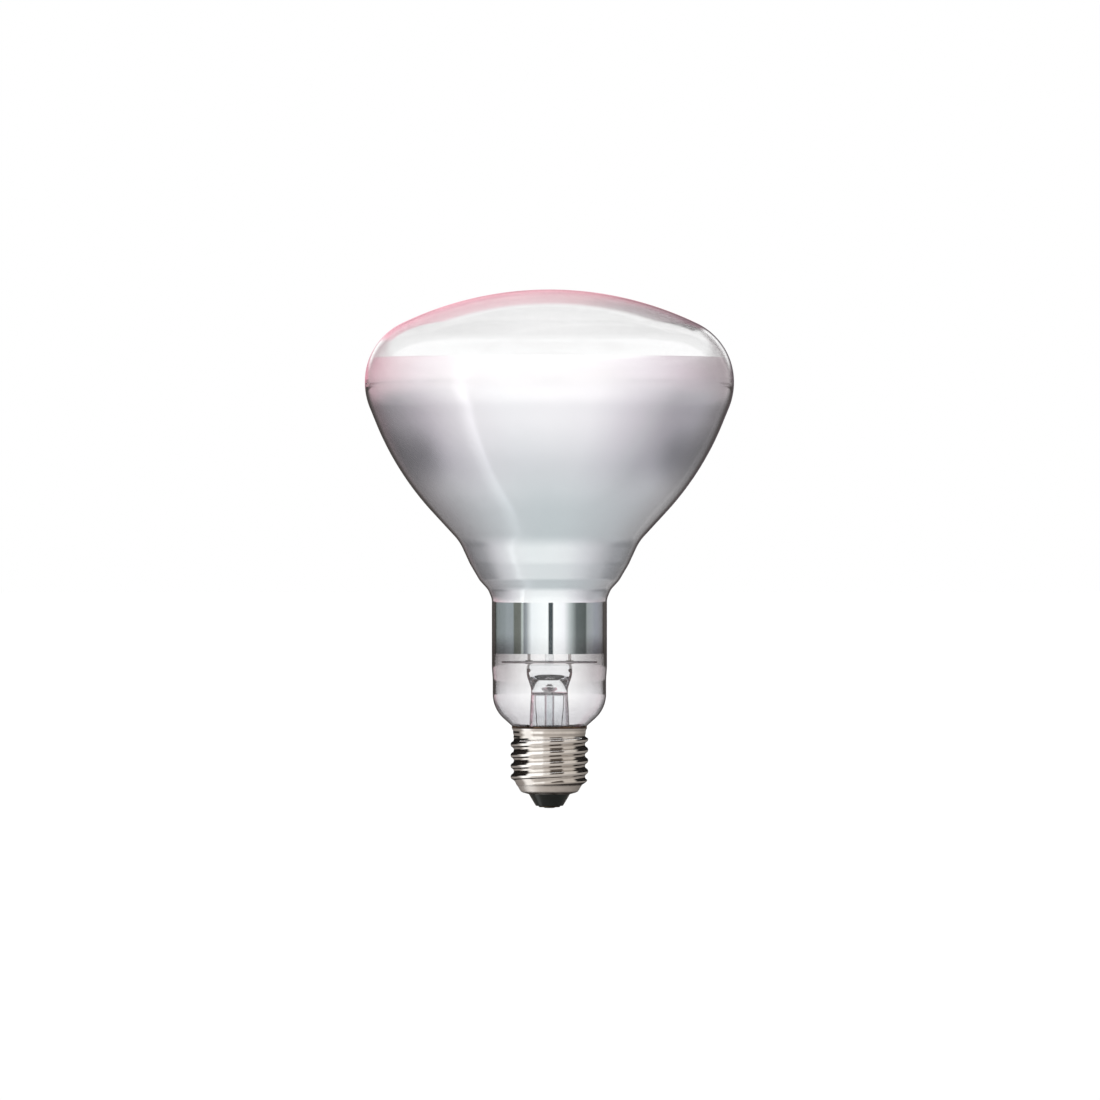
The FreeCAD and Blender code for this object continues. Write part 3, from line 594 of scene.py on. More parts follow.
glass_wall, bulb_sides = 1.0, 192
bulb_radius, bulb_top_z = 62.5, 175.5
lower_neck_radius, upper_neck_radius = 19.2, 19.5
shoulder_radius, dome_radius = 22.0, 115.0
dome_centre_z = bulb_top_z - dome_radius
shoulder_centre_r = bulb_radius - shoulder_radius
shoulder_centre_z = dome_centre_z + math.sqrt((dome_radius - shoulder_radius) ** 2 - shoulder_centre_r**2)
bulb_outline = rounded([
    (neck_end_radius, neck_end_z, 0),
    (neck_end_radius, shell_height - (neck_at_lip - neck_end_radius) * heel, 1.5),
    (lower_neck_radius, shell_height + (lower_neck_radius - neck_at_lip) * heel, 11.0),
    (lower_neck_radius, 43.9, 30.0),
    (upper_neck_radius, 47.5, 30.0),
    (upper_neck_radius, 70.8, 5.0),
    (20.75, 73.9, 5.0),
    (23.6, 77.0, 6.0),
    (26.9, 82.6, 14.0),
    (30.4, 90.2, 16.0),
    (51.8, 113.42, 100.0),
    (bulb_radius, shoulder_centre_z - 4.6, 22.5),
    (bulb_radius, shoulder_centre_z, 0),
], 0.9)
lean = math.atan2(shoulder_centre_r, shoulder_centre_z - dome_centre_z)
shoulder_steps, dome_steps = 40, 56
for k in range(1, shoulder_steps + 1):
    a = (math.pi / 2 - lean) * k / shoulder_steps
    r = shoulder_centre_r + shoulder_radius * math.cos(a)
    bulb_outline.append((r, shoulder_centre_z + shoulder_radius * math.sin(a)))
for k in range(1, dome_steps + 1):
    a = lean * (1 - k / dome_steps)
    bulb_outline.append((dome_radius * math.sin(a), dome_centre_z + dome_radius * math.cos(a)))


def sunk(points, depth):
    """The same outline at a depth under its surface, towards the inside of the bulb."""
    moved = []
    for k, (r, z) in enumerate(points):
        before, after = points[max(k - 1, 0)], points[min(k + 1, len(points) - 1)]
        way = Vector((after[0] - before[0], after[1] - before[1])).normalized()
        moved.append((r - way.y * depth, z + way.x * depth) if r > 0 else (0, z - depth))
    return moved


def radius_in(tree):
    """The distance from the lamp's axis, in metres."""
    coords = put(tree, "ShaderNodeTexCoord").outputs["Object"]
    flat = put(tree, "ShaderNodeVectorMath", {0: coords, 1: (1, 1, 0)}, operation="MULTIPLY").outputs[0]
    return put(tree, "ShaderNodeVectorMath", {0: flat}, operation="LENGTH").outputs[1]


def height_in(tree):
    """The height on the lamp's axis, in metres."""
    coords = put(tree, "ShaderNodeTexCoord").outputs["Object"]
    return put(tree, "ShaderNodeSeparateXYZ", {0: coords}).outputs[2]


def off_height(tree, z):
    """The distance from a height in millimetres, up or down, in metres."""
    return maths(tree, "ABSOLUTE", maths(tree, "SUBTRACT", height_in(tree), z * MM))


def ramp(tree, value, stops, how="LINEAR"):
    """A colour by value, from (value, colour) stops."""
    made = put(tree, "ShaderNodeValToRGB", {"Fac": value})
    made.color_ramp.interpolation = how
    while len(made.color_ramp.elements) < len(stops):
        made.color_ramp.elements.new(0.5)
    for element, (position, colour) in zip(made.color_ramp.elements, sorted(stops)):
        element.position = position
    for element, (position, colour) in zip(made.color_ramp.elements, sorted(stops)):
        element.color = colour
    return made.outputs[0]


def by_height(tree, stops):
    """A colour by height, eased between (height in millimetres, colour) stops."""
    low, high = stops[0][0], stops[-1][0]
    share = ranged(tree, height_in(tree), low * MM, high * MM)
    return ramp(tree, share, [((z - low) / (high - low), colour) for z, colour in stops], "EASE")


bulb_glass, tree, shader = finish_material("blown_glass", Transmission_Weight=1.0, Roughness=0.0, IOR=1.5)
clear = level(255, 255, 255)
# the glass colour by height: greyer round the neck, and a faint painted shade over the mirrored flank from 106
# to 142 mm, both fuller where the glass is seen at a slant
grey_neck_and_painted_shade = by_height(tree, [
    (0, clear),
    (28, level(229, 228, 230)),
    (38, level(237, 236, 238)),
    (45, level(214, 211, 212)),
    (52.4, level(192, 188, 189)),
    (60, clear),
    (106, clear),
    (118, level(236, 236, 238)),
    (132, level(238, 237, 239)),
    (142, clear),
    (200, clear),
])
facing = put(tree, "ShaderNodeLayerWeight", {"Blend": 0.5}).outputs["Facing"]
grey_neck_and_painted_shade = blended(tree, ranged(tree, facing, 0.02, 0.35, 0.15, 1.0), clear, grey_neck_and_painted_shade)
tree.links.new(grey_neck_and_painted_shade, shader.inputs["Base Color"])

# a very faint fold round the widest place, in the material only, which tilts both faces one way
fold_z, fold_half_width = 143.7, 1.2
fold = ranged(tree, off_height(tree, fold_z), 0.0, fold_half_width * MM, 0.9, 0.0)
face = ranged(tree, radius_in(tree), (bulb_radius - 0.8) * MM, (bulb_radius - 0.2) * MM, -1.0, 1.0)
fold = maths(tree, "MULTIPLY", fold, face)
bumped(tree, shader, maths(tree, "ADD", grain(tree, 40, 1.0, (1, 1, 0)), fold), 0.04)
rings = turned(bulb_outline + sunk(bulb_outline, glass_wall)[::-1], bulb_sides)
bulb = skin("glass_bulb", rings, bulb_glass, loop=True)
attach(bulb, "root")
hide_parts("glass_bulb")


# Mirror film
# Aluminium is evaporated on the inside of the bulb, from the neck to just past its widest place.
# It is a true mirror, a little uneven where the vapour met the curved wall at a slant. Its
# colour carries painted shade, darker and a little blue-green towards the neck.

film_gap, film_thickness = 0.02, 0.08
film_low_z, film_high_z = 52.3, 152.0


def between(points, low, high):
    """The stretch of an outline between two heights."""
    kept = []
    for a, b in zip(points, points[1:]):
        for z in (low, high):
            if a[1] < z <= b[1]:
                share = (z - a[1]) / (b[1] - a[1])
                kept.append((a[0] + (b[0] - a[0]) * share, z))
        if low < b[1] < high:
            kept.append(b)
    return sorted(kept, key=lambda p: p[1])


mirror_film, tree, shader = finish_material("evaporated_aluminium", Metallic=1.0)
# painted shade: the film's colour darkens and turns a little blue-green towards the neck
shade = by_height(tree, [
    (50, level(236, 240, 240)),
    (92, level(238, 243, 243)),
    (123.5, level(246, 246, 247)),
    (155, level(249, 248, 249)),
])
tree.links.new(shade, shader.inputs["Base Color"])

# softest over the neck's top and round the widest place
over_neck = ranged(tree, height_in(tree), 0.070, 0.076, 0.03, 0.20, "SMOOTHSTEP")
up_flare = ranged(tree, height_in(tree), 0.090, 0.106, 0.0, -0.09, "SMOOTHSTEP")
at_widest = ranged(tree, off_height(tree, 145.0), 0.002, 0.006, 0.10, 0.0, "SMOOTHSTEP")
soft = maths(tree, "ADD", maths(tree, "ADD", over_neck, up_flare), at_widest)
soft = maths(tree, "MULTIPLY", soft, ranged(tree, grain(tree, 60, 3.0), 0.3, 0.7, 0.8, 1.2))
tree.links.new(soft, shader.inputs["Roughness"])
bumped(tree, shader, grain(tree, 60, 1.0, (1, 1, 0)), 0.06)
film_line = between(sunk(bulb_outline, glass_wall + film_gap), film_low_z, film_high_z)
rings = turned(film_line + sunk(film_line, film_thickness)[::-1], bulb_sides)
film = skin("mirror_film", rings, mirror_film, loop=True)
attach(film, "root")
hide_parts("mirror_coating")


# Screw shell
# Thin brass sheet, drawn to a cup, rolled with a right-hand knuckle thread and nickel-plated. The
# lip opens a little for the cement, and the mouth is turned in round the black glass.

pitch, lowest_crest_z = 3.629, 8.8
crest_radius, root_radius = 13.15, 12.05
run_in, run_out = (7.2, 9.6), (23.4, 24.6)
shell_wall = 0.3

thread_tree, given, result = geometry_tree("rolled_thread", [
    "Pitch", "Depth", "Knuckle", "Lowest Crest", "Run In Start", "Run In End", "Run Out Start", "Run Out End",
])
spot = put(thread_tree, "GeometryNodeInputPosition").outputs[0]
axes = put(thread_tree, "ShaderNodeSeparateXYZ", {0: spot})
turn = maths(thread_tree, "DIVIDE", maths(thread_tree, "ARCTAN2", axes.outputs[1], axes.outputs[0]), math.tau)
rise = maths(thread_tree, "SUBTRACT", axes.outputs[2], given.outputs["Lowest Crest"])
rise = maths(thread_tree, "SUBTRACT", rise, maths(thread_tree, "MULTIPLY", turn, given.outputs["Pitch"]))
half_pitch = maths(thread_tree, "MULTIPLY", given.outputs["Pitch"], 0.5)
off_crest = maths(thread_tree, "PINGPONG", rise, half_pitch)
off_root = maths(thread_tree, "SUBTRACT", half_pitch, off_crest)
squared = maths(thread_tree, "MULTIPLY", given.outputs["Knuckle"], given.outputs["Knuckle"])


def knuckle_arc(distance):
    """How far an arc of the knuckle's radius has fallen at a distance from its middle."""
    inside = maths(thread_tree, "SUBTRACT", squared, maths(thread_tree, "MULTIPLY", distance, distance))
    drop = maths(thread_tree, "SQRT", maths(thread_tree, "MAXIMUM", inside, 0.0))
    return maths(thread_tree, "SUBTRACT", given.outputs["Knuckle"], drop)


crest = maths(thread_tree, "SUBTRACT", given.outputs["Depth"], knuckle_arc(off_crest))
root = knuckle_arc(off_root)
on_crest = maths(thread_tree, "LESS_THAN", off_crest, off_root)
swell = put(thread_tree, "ShaderNodeMix", {0: on_crest, 2: root, 3: crest}).outputs[0]


def fade(name, from_share, to_share):
    """A share that moves smoothly from one to the other over a stretch of the height."""
    start, end = given.outputs[name + " Start"], given.outputs[name + " End"]
    return ranged(thread_tree, axes.outputs[2], start, end, from_share, to_share, "SMOOTHSTEP")


fades = maths(thread_tree, "MULTIPLY", fade("Run In", 0.0, 1.0), fade("Run Out", 1.0, 0.0))
swell = maths(thread_tree, "MULTIPLY", swell, fades)
flat = put(thread_tree, "ShaderNodeCombineXYZ", {"X": axes.outputs[0], "Y": axes.outputs[1]}).outputs[0]
outward = put(thread_tree, "ShaderNodeVectorMath", {0: flat}, operation="NORMALIZE").outputs[0]
shift = put(thread_tree, "ShaderNodeVectorMath", {0: outward, "Scale": swell}, operation="SCALE").outputs[0]
rolled = put(thread_tree, "GeometryNodeSetPosition", {"Geometry": given.outputs[0], "Offset": shift})
close_tree(thread_tree, given, result, rolled.outputs[0])

nickel_plate, tree, shader = finish_material("nickel_plated_shell", Metallic=1.0)
# painted shade: the plating's colour is darker the nearer it lies to the axis, in the thread's grooves, the
# collar and the lower cone, and lightest on the crests; random stains on top
groove_shade = ranged(tree, radius_in(tree), 0.0120, 0.0131, how="SMOOTHSTEP")
stains_and_groove_shade = maths(tree, "ADD", groove_shade, ranged(tree, grain(tree, 260, 3.0), 0.3, 0.7, -0.35, 0.35))
shade = ramp(tree, stains_and_groove_shade, [
    (0.0, level(230, 226, 222)),
    (0.5, level(243, 240, 237)),
    (1.0, level(250, 248, 246)),
])
tree.links.new(shade, shader.inputs["Base Color"])
rub = grain(tree, 500, 4.0, (1, 1, 6))
dull = ranged(tree, height_in(tree), 0.0072, 0.0086, 0.28, 0.0, "SMOOTHSTEP")
dull = maths(tree, "ADD", dull, ranged(tree, rub, 0.3, 0.7, 0.07, 0.13))
tree.links.new(dull, shader.inputs["Roughness"])
bumped(tree, shader, rub, 0.006)
knuckle = ((pitch / 2) ** 2 + (crest_radius - root_radius) ** 2) / (4 * (crest_radius - root_radius))
shell_outline = rounded([
    (7.0, 4.7, 0),
    (9.6, 5.4, 2.0),
    (root_radius, 9.6, 2.0),
    (root_radius, 24.4, 0.8),
    (12.3, 25.4, 0.8),
    (12.3, 26.2, 0.8),
    (lip_radius, shell_height, 0),
], 0.2)


def filled(points, step):
    """The same outline with points no further apart than a step."""
    dense = [points[0]]
    for a, b in zip(points, points[1:]):
        count = max(1, math.ceil(math.dist(a, b) / step))
        steps = [k / count for k in range(1, count + 1)]
        dense += [(a[0] + (b[0] - a[0]) * share, a[1] + (b[1] - a[1]) * share) for share in steps]
    return dense


shell_outline = filled(shell_outline, 0.16)
shell_inside = [(r, min(z, shell_height)) for r, z in sunk(shell_outline, shell_wall)]
wall = skin("shell_blank", turned(shell_outline + shell_inside[::-1], 160), nickel_plate, loop=True)
blank = wall.data
bpy.data.objects.remove(wall)
thread_values = {
    "Pitch": pitch * MM,
    "Depth": (crest_radius - root_radius) * MM,
    "Knuckle": knuckle * MM,
    "Lowest Crest": lowest_crest_z * MM,
    "Run In Start": run_in[0] * MM,
    "Run In End": run_in[1] * MM,
    "Run Out Start": run_out[0] * MM,
    "Run Out End": run_out[1] * MM,
}
shell = grown("screw_shell", blank, thread_tree, nickel_plate, thread_values, sharp=60.0)
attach(shell, "root")
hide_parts("screw_shell")


# Cap insulator
# Black glass, melted and pressed into the shell's mouth, so its outside is glossy and slightly
# lumpy. It keeps the contact plate apart from the shell.

black_glass, tree, shader = finish_material("pressed_black_glass", Roughness=0.07, IOR=1.42)
spots = grain(tree, 700, 2.0)
shade = ramp(tree, spots, [(0.35, level(3, 9, 8)), (0.7, level(9, 18, 16))])
tree.links.new(shade, shader.inputs["Base Color"])
bumped(tree, shader, grain(tree, 240, 1.0, (1, 1, 0.5)), 0.25)
insulator_line = rounded([
    (1.7, 1.0, 0),
    (3.62, 1.0, 0),
    (3.62, 0.75, 0.1),
    (4.6, 0.75, 0.35),
    (6.97, 4.7, 0.2),
    (6.95, 4.99, 0.1),
    (9.3, 5.75, 1.5),
    (10.2, 7.3, 0.3),
    (1.7, 7.3, 0.3),
], 0.2)
insulator = skin("cap_insulator", turned(insulator_line, 96), black_glass, loop=True)
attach(insulator, "root")
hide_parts("cap_insulator")


# Contact plate and solder tip
# A brass disc bedded in the black glass, with a drop of solder that fills its hole, grips the
# centre lead and is pressed flat where the lampholder's spring meets it.

dull_brass = metal("dull_brass", level(84, 77, 66), 0.4, level(56, 50, 42), scale=600)
plate_line = rounded([(0.75, 0.3, 0), (3.6, 0.3, 0.25), (3.6, 1.0, 0.1), (0.75, 1.0, 0)], 0.1)
plate = skin("contact_plate", turned(plate_line, 96), dull_brass, loop=True)
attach(plate, "root")
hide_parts("contact_plate")

tin_solder = metal("tin_solder", level(176, 178, 180), 0.3, level(128, 130, 134), scale=1400, depth=0.03)
tip_line = rounded([
    (0, 0, 0),
    (1.5, 0, 0.6),
    (2.3, 0.295, 0.1),
    (0.74, 0.295, 0),
    (0.74, 0.98, 0.1),
    (0, 0.98, 0),
], 0.1)
tip = skin("solder_tip", turned(tip_line, 64), tin_solder)
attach(tip, "root")
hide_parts("centre_solder")


# Basing cement
# A brown paste of marble flour and resin, squeezed out over the lip as the neck was pushed in, and
# baked hard. Its bead is rough and uneven all round the rim.

cement_mix, tree, shader = finish_material("baked_cement", Roughness=0.85)
crumbs = grain(tree, 1500, 4.0)
scorch = grain(tree, 240, 2.0)
speckle = maths(tree, "ADD", maths(tree, "MULTIPLY", crumbs, 0.5), maths(tree, "MULTIPLY", scorch, 0.5))
shade = ramp(tree, speckle, [
    (0.35, level(30, 20, 13)),
    (0.5, level(60, 43, 30)),
    (0.62, level(98, 74, 54)),
])
tree.links.new(shade, shader.inputs["Base Color"])
bumped(tree, shader, crumbs, 0.12)
cement_line = [
    (neck_end_radius + 0.02, 18.0),
    (11.7, 18.0),
    (11.72, 24.1),
    (11.95, 25.4),
    (11.97, 26.2),
    (12.4, 27.05),
    (12.73, 27.12),
    (12.74, 27.5),
    (12.66, 27.74),
    (12.2, 27.42),
    (11.84, 27.06),
    (11.5, 26.75),
    (11.24, 26.3),
]
rings = turned(cement_line, 240)
bead = rings[5:10]
for ring in bead:
    for k, (x, y, z) in enumerate(ring):
        spot = Vector((x, y, z))
        lump = noise.noise(spot * 1.1) * 0.16 + noise.noise(spot * 3.0) * 0.05
        scale = 1 + min(lump, 0.0) * 0.5 / 12
        ring[k] = (x * scale, y * scale, z + (lump if z > 27.3 else lump * 0.3))
cement = skin("basing_cement", rings, cement_mix, loop=True, sharp=50.0)
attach(cement, "root")
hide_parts("basing_cement")


# Side solder
# A drop of tin solder at the back of the rim, which joins the bent-over side lead to the shell.

drop_radius, drop_depth_share, drop_z = 1.25, 0.9, 26.5
drop_rows, drop_sides = 24, 32
seat_radius = lip_radius + 0.02
rings = []
for k in range(drop_rows + 1):
    a = math.pi * (k / drop_rows - 0.5)
    ring = []
    for j in range(drop_sides if 0 < k < drop_rows else 1):
        b = math.tau * j / drop_sides
        x = drop_radius * math.cos(a) * math.cos(b)
        y = lip_radius + drop_radius * math.cos(a) * math.sin(b) * drop_depth_share
        z = drop_z + drop_radius * math.sin(a)
        swell = 1 + 0.07 * noise.noise(Vector((x, y, z)) * 1.5)
        x, y = x * swell, lip_radius + (y - lip_radius) * swell
        away = math.hypot(x, y)
        if away < seat_radius:
            x, y = x * seat_radius / away, y * seat_radius / away
        ring.append((x, y, z))
    rings.append(ring)
rim_solder = skin("rim_solder", rings, tin_solder)
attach(rim_solder, "root")
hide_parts("side_solder")


# Studio floor
# A wide pale floor some way under the lamp. It gives off part of its white by itself, so it reads
# as white, and the rest is lit and keeps the lamp's soft shadow.

floor_paint = bpy.data.materials.new("studio_floor")
floor_paint.use_nodes = True
tree = floor_paint.node_tree
tree.nodes.clear()
matt = put(tree, "ShaderNodeBsdfDiffuse", {"Color": (0.62, 0.62, 0.62, 1.0)})
glow = put(tree, "ShaderNodeEmission", {"Color": (1, 1, 1, 1), "Strength": 0.44})
both = put(tree, "ShaderNodeAddShader", {0: matt.outputs[0], 1: glow.outputs[0]})
open_below = put(tree, "ShaderNodeBsdfTransparent")
from_below = put(tree, "ShaderNodeNewGeometry").outputs["Backfacing"]
side = put(tree, "ShaderNodeMixShader", {0: from_below, 1: both.outputs[0], 2: open_below.outputs[0]})
put(tree, "ShaderNodeOutputMaterial", {"Surface": side.outputs[0]})
floor_z, floor_half = -0.12, 40.0
floor_mesh = bpy.data.meshes.new("studio_floor")
corners = [(x * floor_half, y * floor_half, floor_z) for x, y in ((-1, -1), (1, -1), (1, 1), (-1, 1))]
floor_mesh.from_pydata(corners, [], [(0, 1, 2, 3)])
floor_mesh.materials.append(floor_paint)
floor = bpy.data.objects.new("studio_floor", floor_mesh)
bpy.context.collection.objects.link(floor)
floor.visible_glossy = False
floor.visible_transmission = False


# Studio surround
# Plain white for what is looked at straight or through clear glass. The mirror film sees a soft
# room with a bright front and one strip light, and clear glass a paler one with a pink wall. The
# bare cap sees rows of white, grey and black cards.

room = bpy.data.worlds.new("studio_surround")
bpy.context.scene.world = room
room.use_nodes = True
tree = room.node_tree
tree.nodes.clear()
white = (1.0, 1.0, 1.0, 1.0)
way = put(tree, "ShaderNodeTexCoord").outputs["Generated"]
axes = put(tree, "ShaderNodeSeparateXYZ", {0: way})
rightward, backward, rise = axes.outputs[0], axes.outputs[1], axes.outputs[2]
turn = maths(tree, "ARCTAN2", rightward, maths(tree, "MULTIPLY", backward, -1.0))
turn = ranged(tree, turn, -math.pi, math.pi)


def times(first, *others):
    """The product of shares."""
    for other in others:
        first = maths(tree, "MULTIPLY", first, other)
    return first


def along_way(way, direction):
    """How much of a way goes in a direction."""
    return put(tree, "ShaderNodeVectorMath", {0: way, 1: direction}, operation="DOT_PRODUCT").outputs[1]


def around(stops):
    """A colour by direction on the floor plan, in degrees from the front, to the right positive."""
    return ramp(tree, turn, [((a + 180) / 360, level(*c)) for a, c in stops])


def between_rises(low, high, from_share=0.0, to_share=1.0):
    """A share that moves smoothly from one to the other as the direction rises."""
    return ranged(tree, rise, low, high, from_share, to_share, "SMOOTHSTEP")


# the room, as the mirror film sees it
wall_above = around([
    (-180, (150, 144, 146)),
    (-160, (202, 152, 165)),
    (-150, (206, 156, 169)),
    (-121, (224, 200, 206)),
    (-92, (236, 226, 230)),
    (-60, (250, 247, 248)),
    (0, (253, 252, 252)),
    (32, (248, 245, 246)),
    (61, (234, 228, 233)),
    (92, (206, 195, 202)),
    (121, (174, 163, 168)),
    (150, (166, 153, 157)),
    (180, (150, 144, 146)),
])
wall_below = around([
    (-180, (118, 114, 114)),
    (-150, (140, 135, 138)),
    (-121, (168, 164, 168)),
    (-93, (202, 197, 202)),
    (-62, (238, 236, 238)),
    (-30, (247, 247, 248)),
    (0, (250, 249, 250)),
    (32, (245, 243, 245)),
    (62, (216, 212, 217)),
    (93, (176, 173, 178)),
    (121, (172, 170, 175)),
    (150, (156, 153, 155)),
    (180, (118, 114, 114)),
])
film_room = blended(tree, between_rises(-0.32, 0.12, 1.0, 0.0), wall_above, wall_below)
steepness = maths(tree, "POWER", ranged(tree, rise, -0.3, -1.0), 2.8)
film_room = blended(tree, steepness, film_room, level(191, 196, 199))
either_way = put(tree, "ShaderNodeCombineXYZ", {0: maths(tree, "ABSOLUTE", rightward), 1: backward, 2: rise})
off_edge = maths(tree, "SUBTRACT", along_way(either_way.outputs[0], (0.613, -0.09, 0.785)), 0.03)
table_edge = ranged(tree, maths(tree, "ABSOLUTE", off_edge), 0.0, 0.17, 0.45, 0.0, "SMOOTHSTEP")
table_edge = times(table_edge, ranged(tree, backward, 0.0, 0.45, how="SMOOTHSTEP"))
film_room = blended(tree, table_edge, film_room, level(42, 46, 48))
strip = along_way(way, (-0.724, 0.689, 0.043))
strip_light = times(ranged(tree, strip, 0.180, 0.196), ranged(tree, strip, 0.20, 0.36, 0.26, 0.0))
horizon_stripes = around([
    (-180, (54, 58, 52)),
    (-142, (58, 62, 56)),
    (-138, (142, 149, 150)),
    (-81, (146, 152, 156)),
    (-78, (100, 103, 96)),
    (-61.5, (104, 106, 101)),
    (-59.5, (172, 178, 174)),
    (-56.5, (168, 173, 172)),
    (-54, (122, 126, 130)),
    (-48, (150, 154, 158)),
    (-37, (238, 240, 242)),
    (-3, (253, 253, 253)),
    (-1.6, (54, 64, 68)),
    (6.6, (48, 58, 62)),
    (8, (253, 253, 253)),
    (30, (247, 245, 248)),
    (44, (176, 182, 182)),
    (58, (92, 98, 97)),
    (81, (80, 86, 84)),
    (84, (150, 154, 154)),
    (112, (158, 159, 167)),
    (138, (150, 148, 152)),
    (143, (70, 64, 62)),
    (180, (60, 58, 56)),
])
in_line = times(between_rises(-0.0175, -0.0135), between_rises(-0.004, 0.0, 1.0, 0.0))
film_room = blended(tree, between_rises(0.5, 0.66), film_room, white)
film_room = blended(tree, in_line, film_room, horizon_stripes)

# the room as clear glass sees it: white above, dim behind its edges, and a pink wall in the dome
glass_room = put(tree, "ShaderNodeHueSaturation", {"Saturation": 0.5, "Color": film_room}).outputs[0]
sideways = ranged(tree, rightward, -0.05, 0.05)
side_shade = ramp(tree, sideways, [(0.0, level(214, 156, 170)), (1.0, level(120, 109, 113))])
side_shade = blended(tree, between_rises(0.003, 0.02), level(74, 70, 68), side_shade)
side_shade = blended(tree, between_rises(0.05, 0.14), side_shade, white)
glass_room = blended(tree, between_rises(0.3, 0.42), glass_room, white)
neck_side = times(between_rises(-0.035, -0.022), between_rises(-0.004, 0.0, 1.0, 0.0))
neck_side = times(neck_side, ranged(tree, backward, 0.12, 0.25))
glass_room = blended(tree, neck_side, glass_room, level(74, 70, 68))
glass_room = blended(tree, ranged(tree, backward, 0.90, 0.96), glass_room, side_shade)
pink_wall = ramp(tree, ranged(tree, rightward, -0.25, 0.25), [
    (0.0, level(246, 190, 204)),
    (0.42, level(240, 184, 196)),
    (0.58, level(224, 172, 182)),
    (0.72, level(160, 134, 142)),
    (1.0, level(84, 76, 79)),
])
steeper = maths(tree, "MAXIMUM", times(rightward, -0.85), times(rightward, 1.3))
in_dome = ranged(tree, maths(tree, "SUBTRACT", rise, steeper), -0.02, 0.04, how="SMOOTHSTEP")
in_dome = times(in_dome, ranged(tree, backward, 0.80, 0.85, how="SMOOTHSTEP"))
glass_room = blended(tree, in_dome, glass_room, pink_wall)
right_rim = times(ranged(tree, rightward, 0.02, 0.08), ranged(tree, backward, 0.96, 0.985))
glass_room = blended(tree, right_rim, glass_room, level(92, 84, 88))

# the room as the bare cap sees it: cards in rows, by the way a wall must face to mirror them
toward = maths(tree, "SUBTRACT", 1.0, backward)
facing = ranged(tree, maths(tree, "ARCTAN2", rightward, toward), -math.pi / 2, math.pi / 2)
flat = maths(tree, "SQRT", maths(tree, "ADD", times(rightward, rightward), times(toward, toward)))
lean = maths(tree, "DIVIDE", rise, maths(tree, "MAXIMUM", flat, 0.001))


def across(stops):
    """A colour by the facing of a mirroring wall, in degrees from the front, to the right positive."""
    return ramp(tree, facing, [((a + 90) / 180, level(*c)) for a, c in stops])


flags_above = across([
    (-90, (24, 22, 21)),
    (-39, (26, 24, 22)),
    (-34, (255, 253, 250)),
    (-12, (255, 253, 250)),
    (-9, (214, 209, 204)),
    (-1, (206, 200, 194)),
    (1.5, (92, 85, 79)),
    (19.5, (84, 77, 71)),
    (22.5, (196, 189, 182)),
    (41, (182, 175, 167)),
    (47, (28, 26, 24)),
    (90, (24, 22, 21)),
])
flags_level = across([
    (-90, (40, 37, 35)),
    (-57, (48, 45, 42)),
    (-51, (190, 185, 180)),
    (-45, (255, 253, 250)),
    (-12, (255, 253, 250)),
    (-8, (208, 202, 196)),
    (40, (188, 181, 174)),
    (60, (150, 144, 138)),
    (90, (96, 92, 88)),
])
flags_below = across([
    (-90, (104, 98, 94)),
    (-50, (150, 144, 140)),
    (-42, (252, 250, 248)),
    (-32, (252, 250, 248)),
    (-27, (192, 186, 181)),
    (0, (176, 169, 163)),
    (50, (140, 134, 129)),
    (90, (90, 86, 82)),
])
cap_room = blended(tree, ranged(tree, lean, -0.22, -0.12), flags_below, flags_level)
cap_room = blended(tree, ranged(tree, lean, 0.0, 0.05), cap_room, flags_above)
cap_room = blended(tree, ranged(tree, lean, -1.15, -1.0, 1.0, 0.0), cap_room, level(46, 42, 40))
in_groove = blended(tree, 0.35, flags_above, level(52, 48, 45))

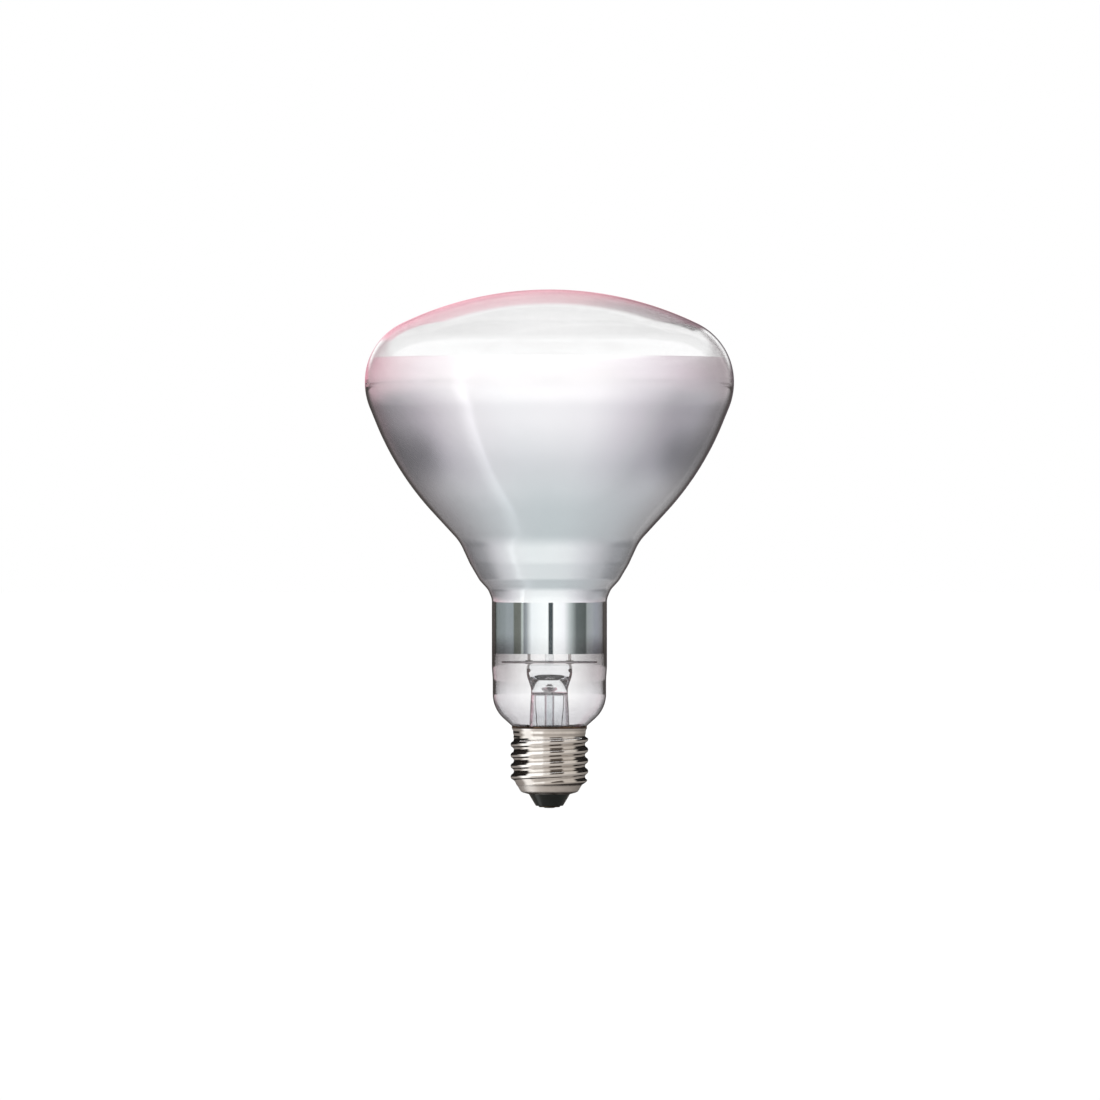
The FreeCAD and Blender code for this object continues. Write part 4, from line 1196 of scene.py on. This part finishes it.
# which of the rooms a ray sees, by how often it was mirrored and how many faces of glass it passed
path = put(tree, "ShaderNodeLightPath")
mirrors, windows = path.outputs["Glossy Depth"], path.outputs["Transmission Depth"]
edge_shade = ranged(tree, backward, 0.955, 0.99, how="SMOOTHSTEP")
edge_shade = times(edge_shade, between_rises(0.02, 0.05, 1.0, 0.0), between_rises(-0.5, -0.3))
colour = blended(tree, edge_shade, film_room, level(66, 62, 60))
colour = blended(tree, maths(tree, "LESS_THAN", windows, 3.5), colour, glass_room)
twice = maths(tree, "GREATER_THAN", mirrors, 1.5)
in_bulb = times(maths(tree, "LESS_THAN", mirrors, 2.5), maths(tree, "LESS_THAN", windows, 4.5))
in_bulb = maths(tree, "MAXIMUM", in_bulb, between_rises(0.15, 0.35))
colour = blended(tree, times(twice, in_bulb), colour, white)
cap_room = blended(tree, twice, cap_room, in_groove)
on_cap = maths(tree, "SUBTRACT", maths(tree, "LESS_THAN", windows, 0.5), path.outputs["Is Singular Ray"])
colour = blended(tree, on_cap, colour, cap_room)
mirrored = maths(tree, "GREATER_THAN", mirrors, 0.5)
colour = blended(tree, mirrored, white, colour)
mirrored_glow, floor_light = 0.18, -0.4
extra = times(mirrored, maths(tree, "ADD", strip_light, mirrored_glow))
lit = times(path.outputs["Is Diffuse Ray"], floor_light)
strength = maths(tree, "ADD", maths(tree, "ADD", extra, lit), 1.0)
surround = put(tree, "ShaderNodeBackground", {"Color": colour, "Strength": strength})
put(tree, "ShaderNodeOutputWorld", {"Surface": surround.outputs[0]})


# Studio lamp
# One very broad soft lamp from the upper left front gives the matt pieces and the floor their
# gentle shade.

lamp = bpy.data.lights.new("soft_lamp", "SUN")
lamp.energy, lamp.angle = 1.35, math.radians(70)
lamp_object = bpy.data.objects.new("soft_lamp", lamp)
bpy.context.collection.objects.link(lamp_object)
lamp_object.rotation_euler = Vector((0.45, 0.7, -1.0)).to_track_quat("-Z", "Y").to_euler()
lamp_object.visible_glossy = False
lamp_object.visible_transmission = False


# Camera
# It stands level with the middle of the picture, three metres in front of the lamp, with a long
# lens.

camera_distance, picture_width, picture_middle_z = 3.0, 0.37243, 0.08735
camera = bpy.data.cameras.new("camera")
camera.sensor_width = 36.0
camera.lens = camera.sensor_width * camera_distance / picture_width
camera_object = bpy.data.objects.new("camera", camera)
bpy.context.collection.objects.link(camera_object)
camera_object.location = (0.0002, -camera_distance, picture_middle_z)
camera_object.rotation_euler = (math.radians(90), 0, 0)
bpy.context.scene.camera = camera_object
bpy.context.scene.view_settings.view_transform = "Standard"
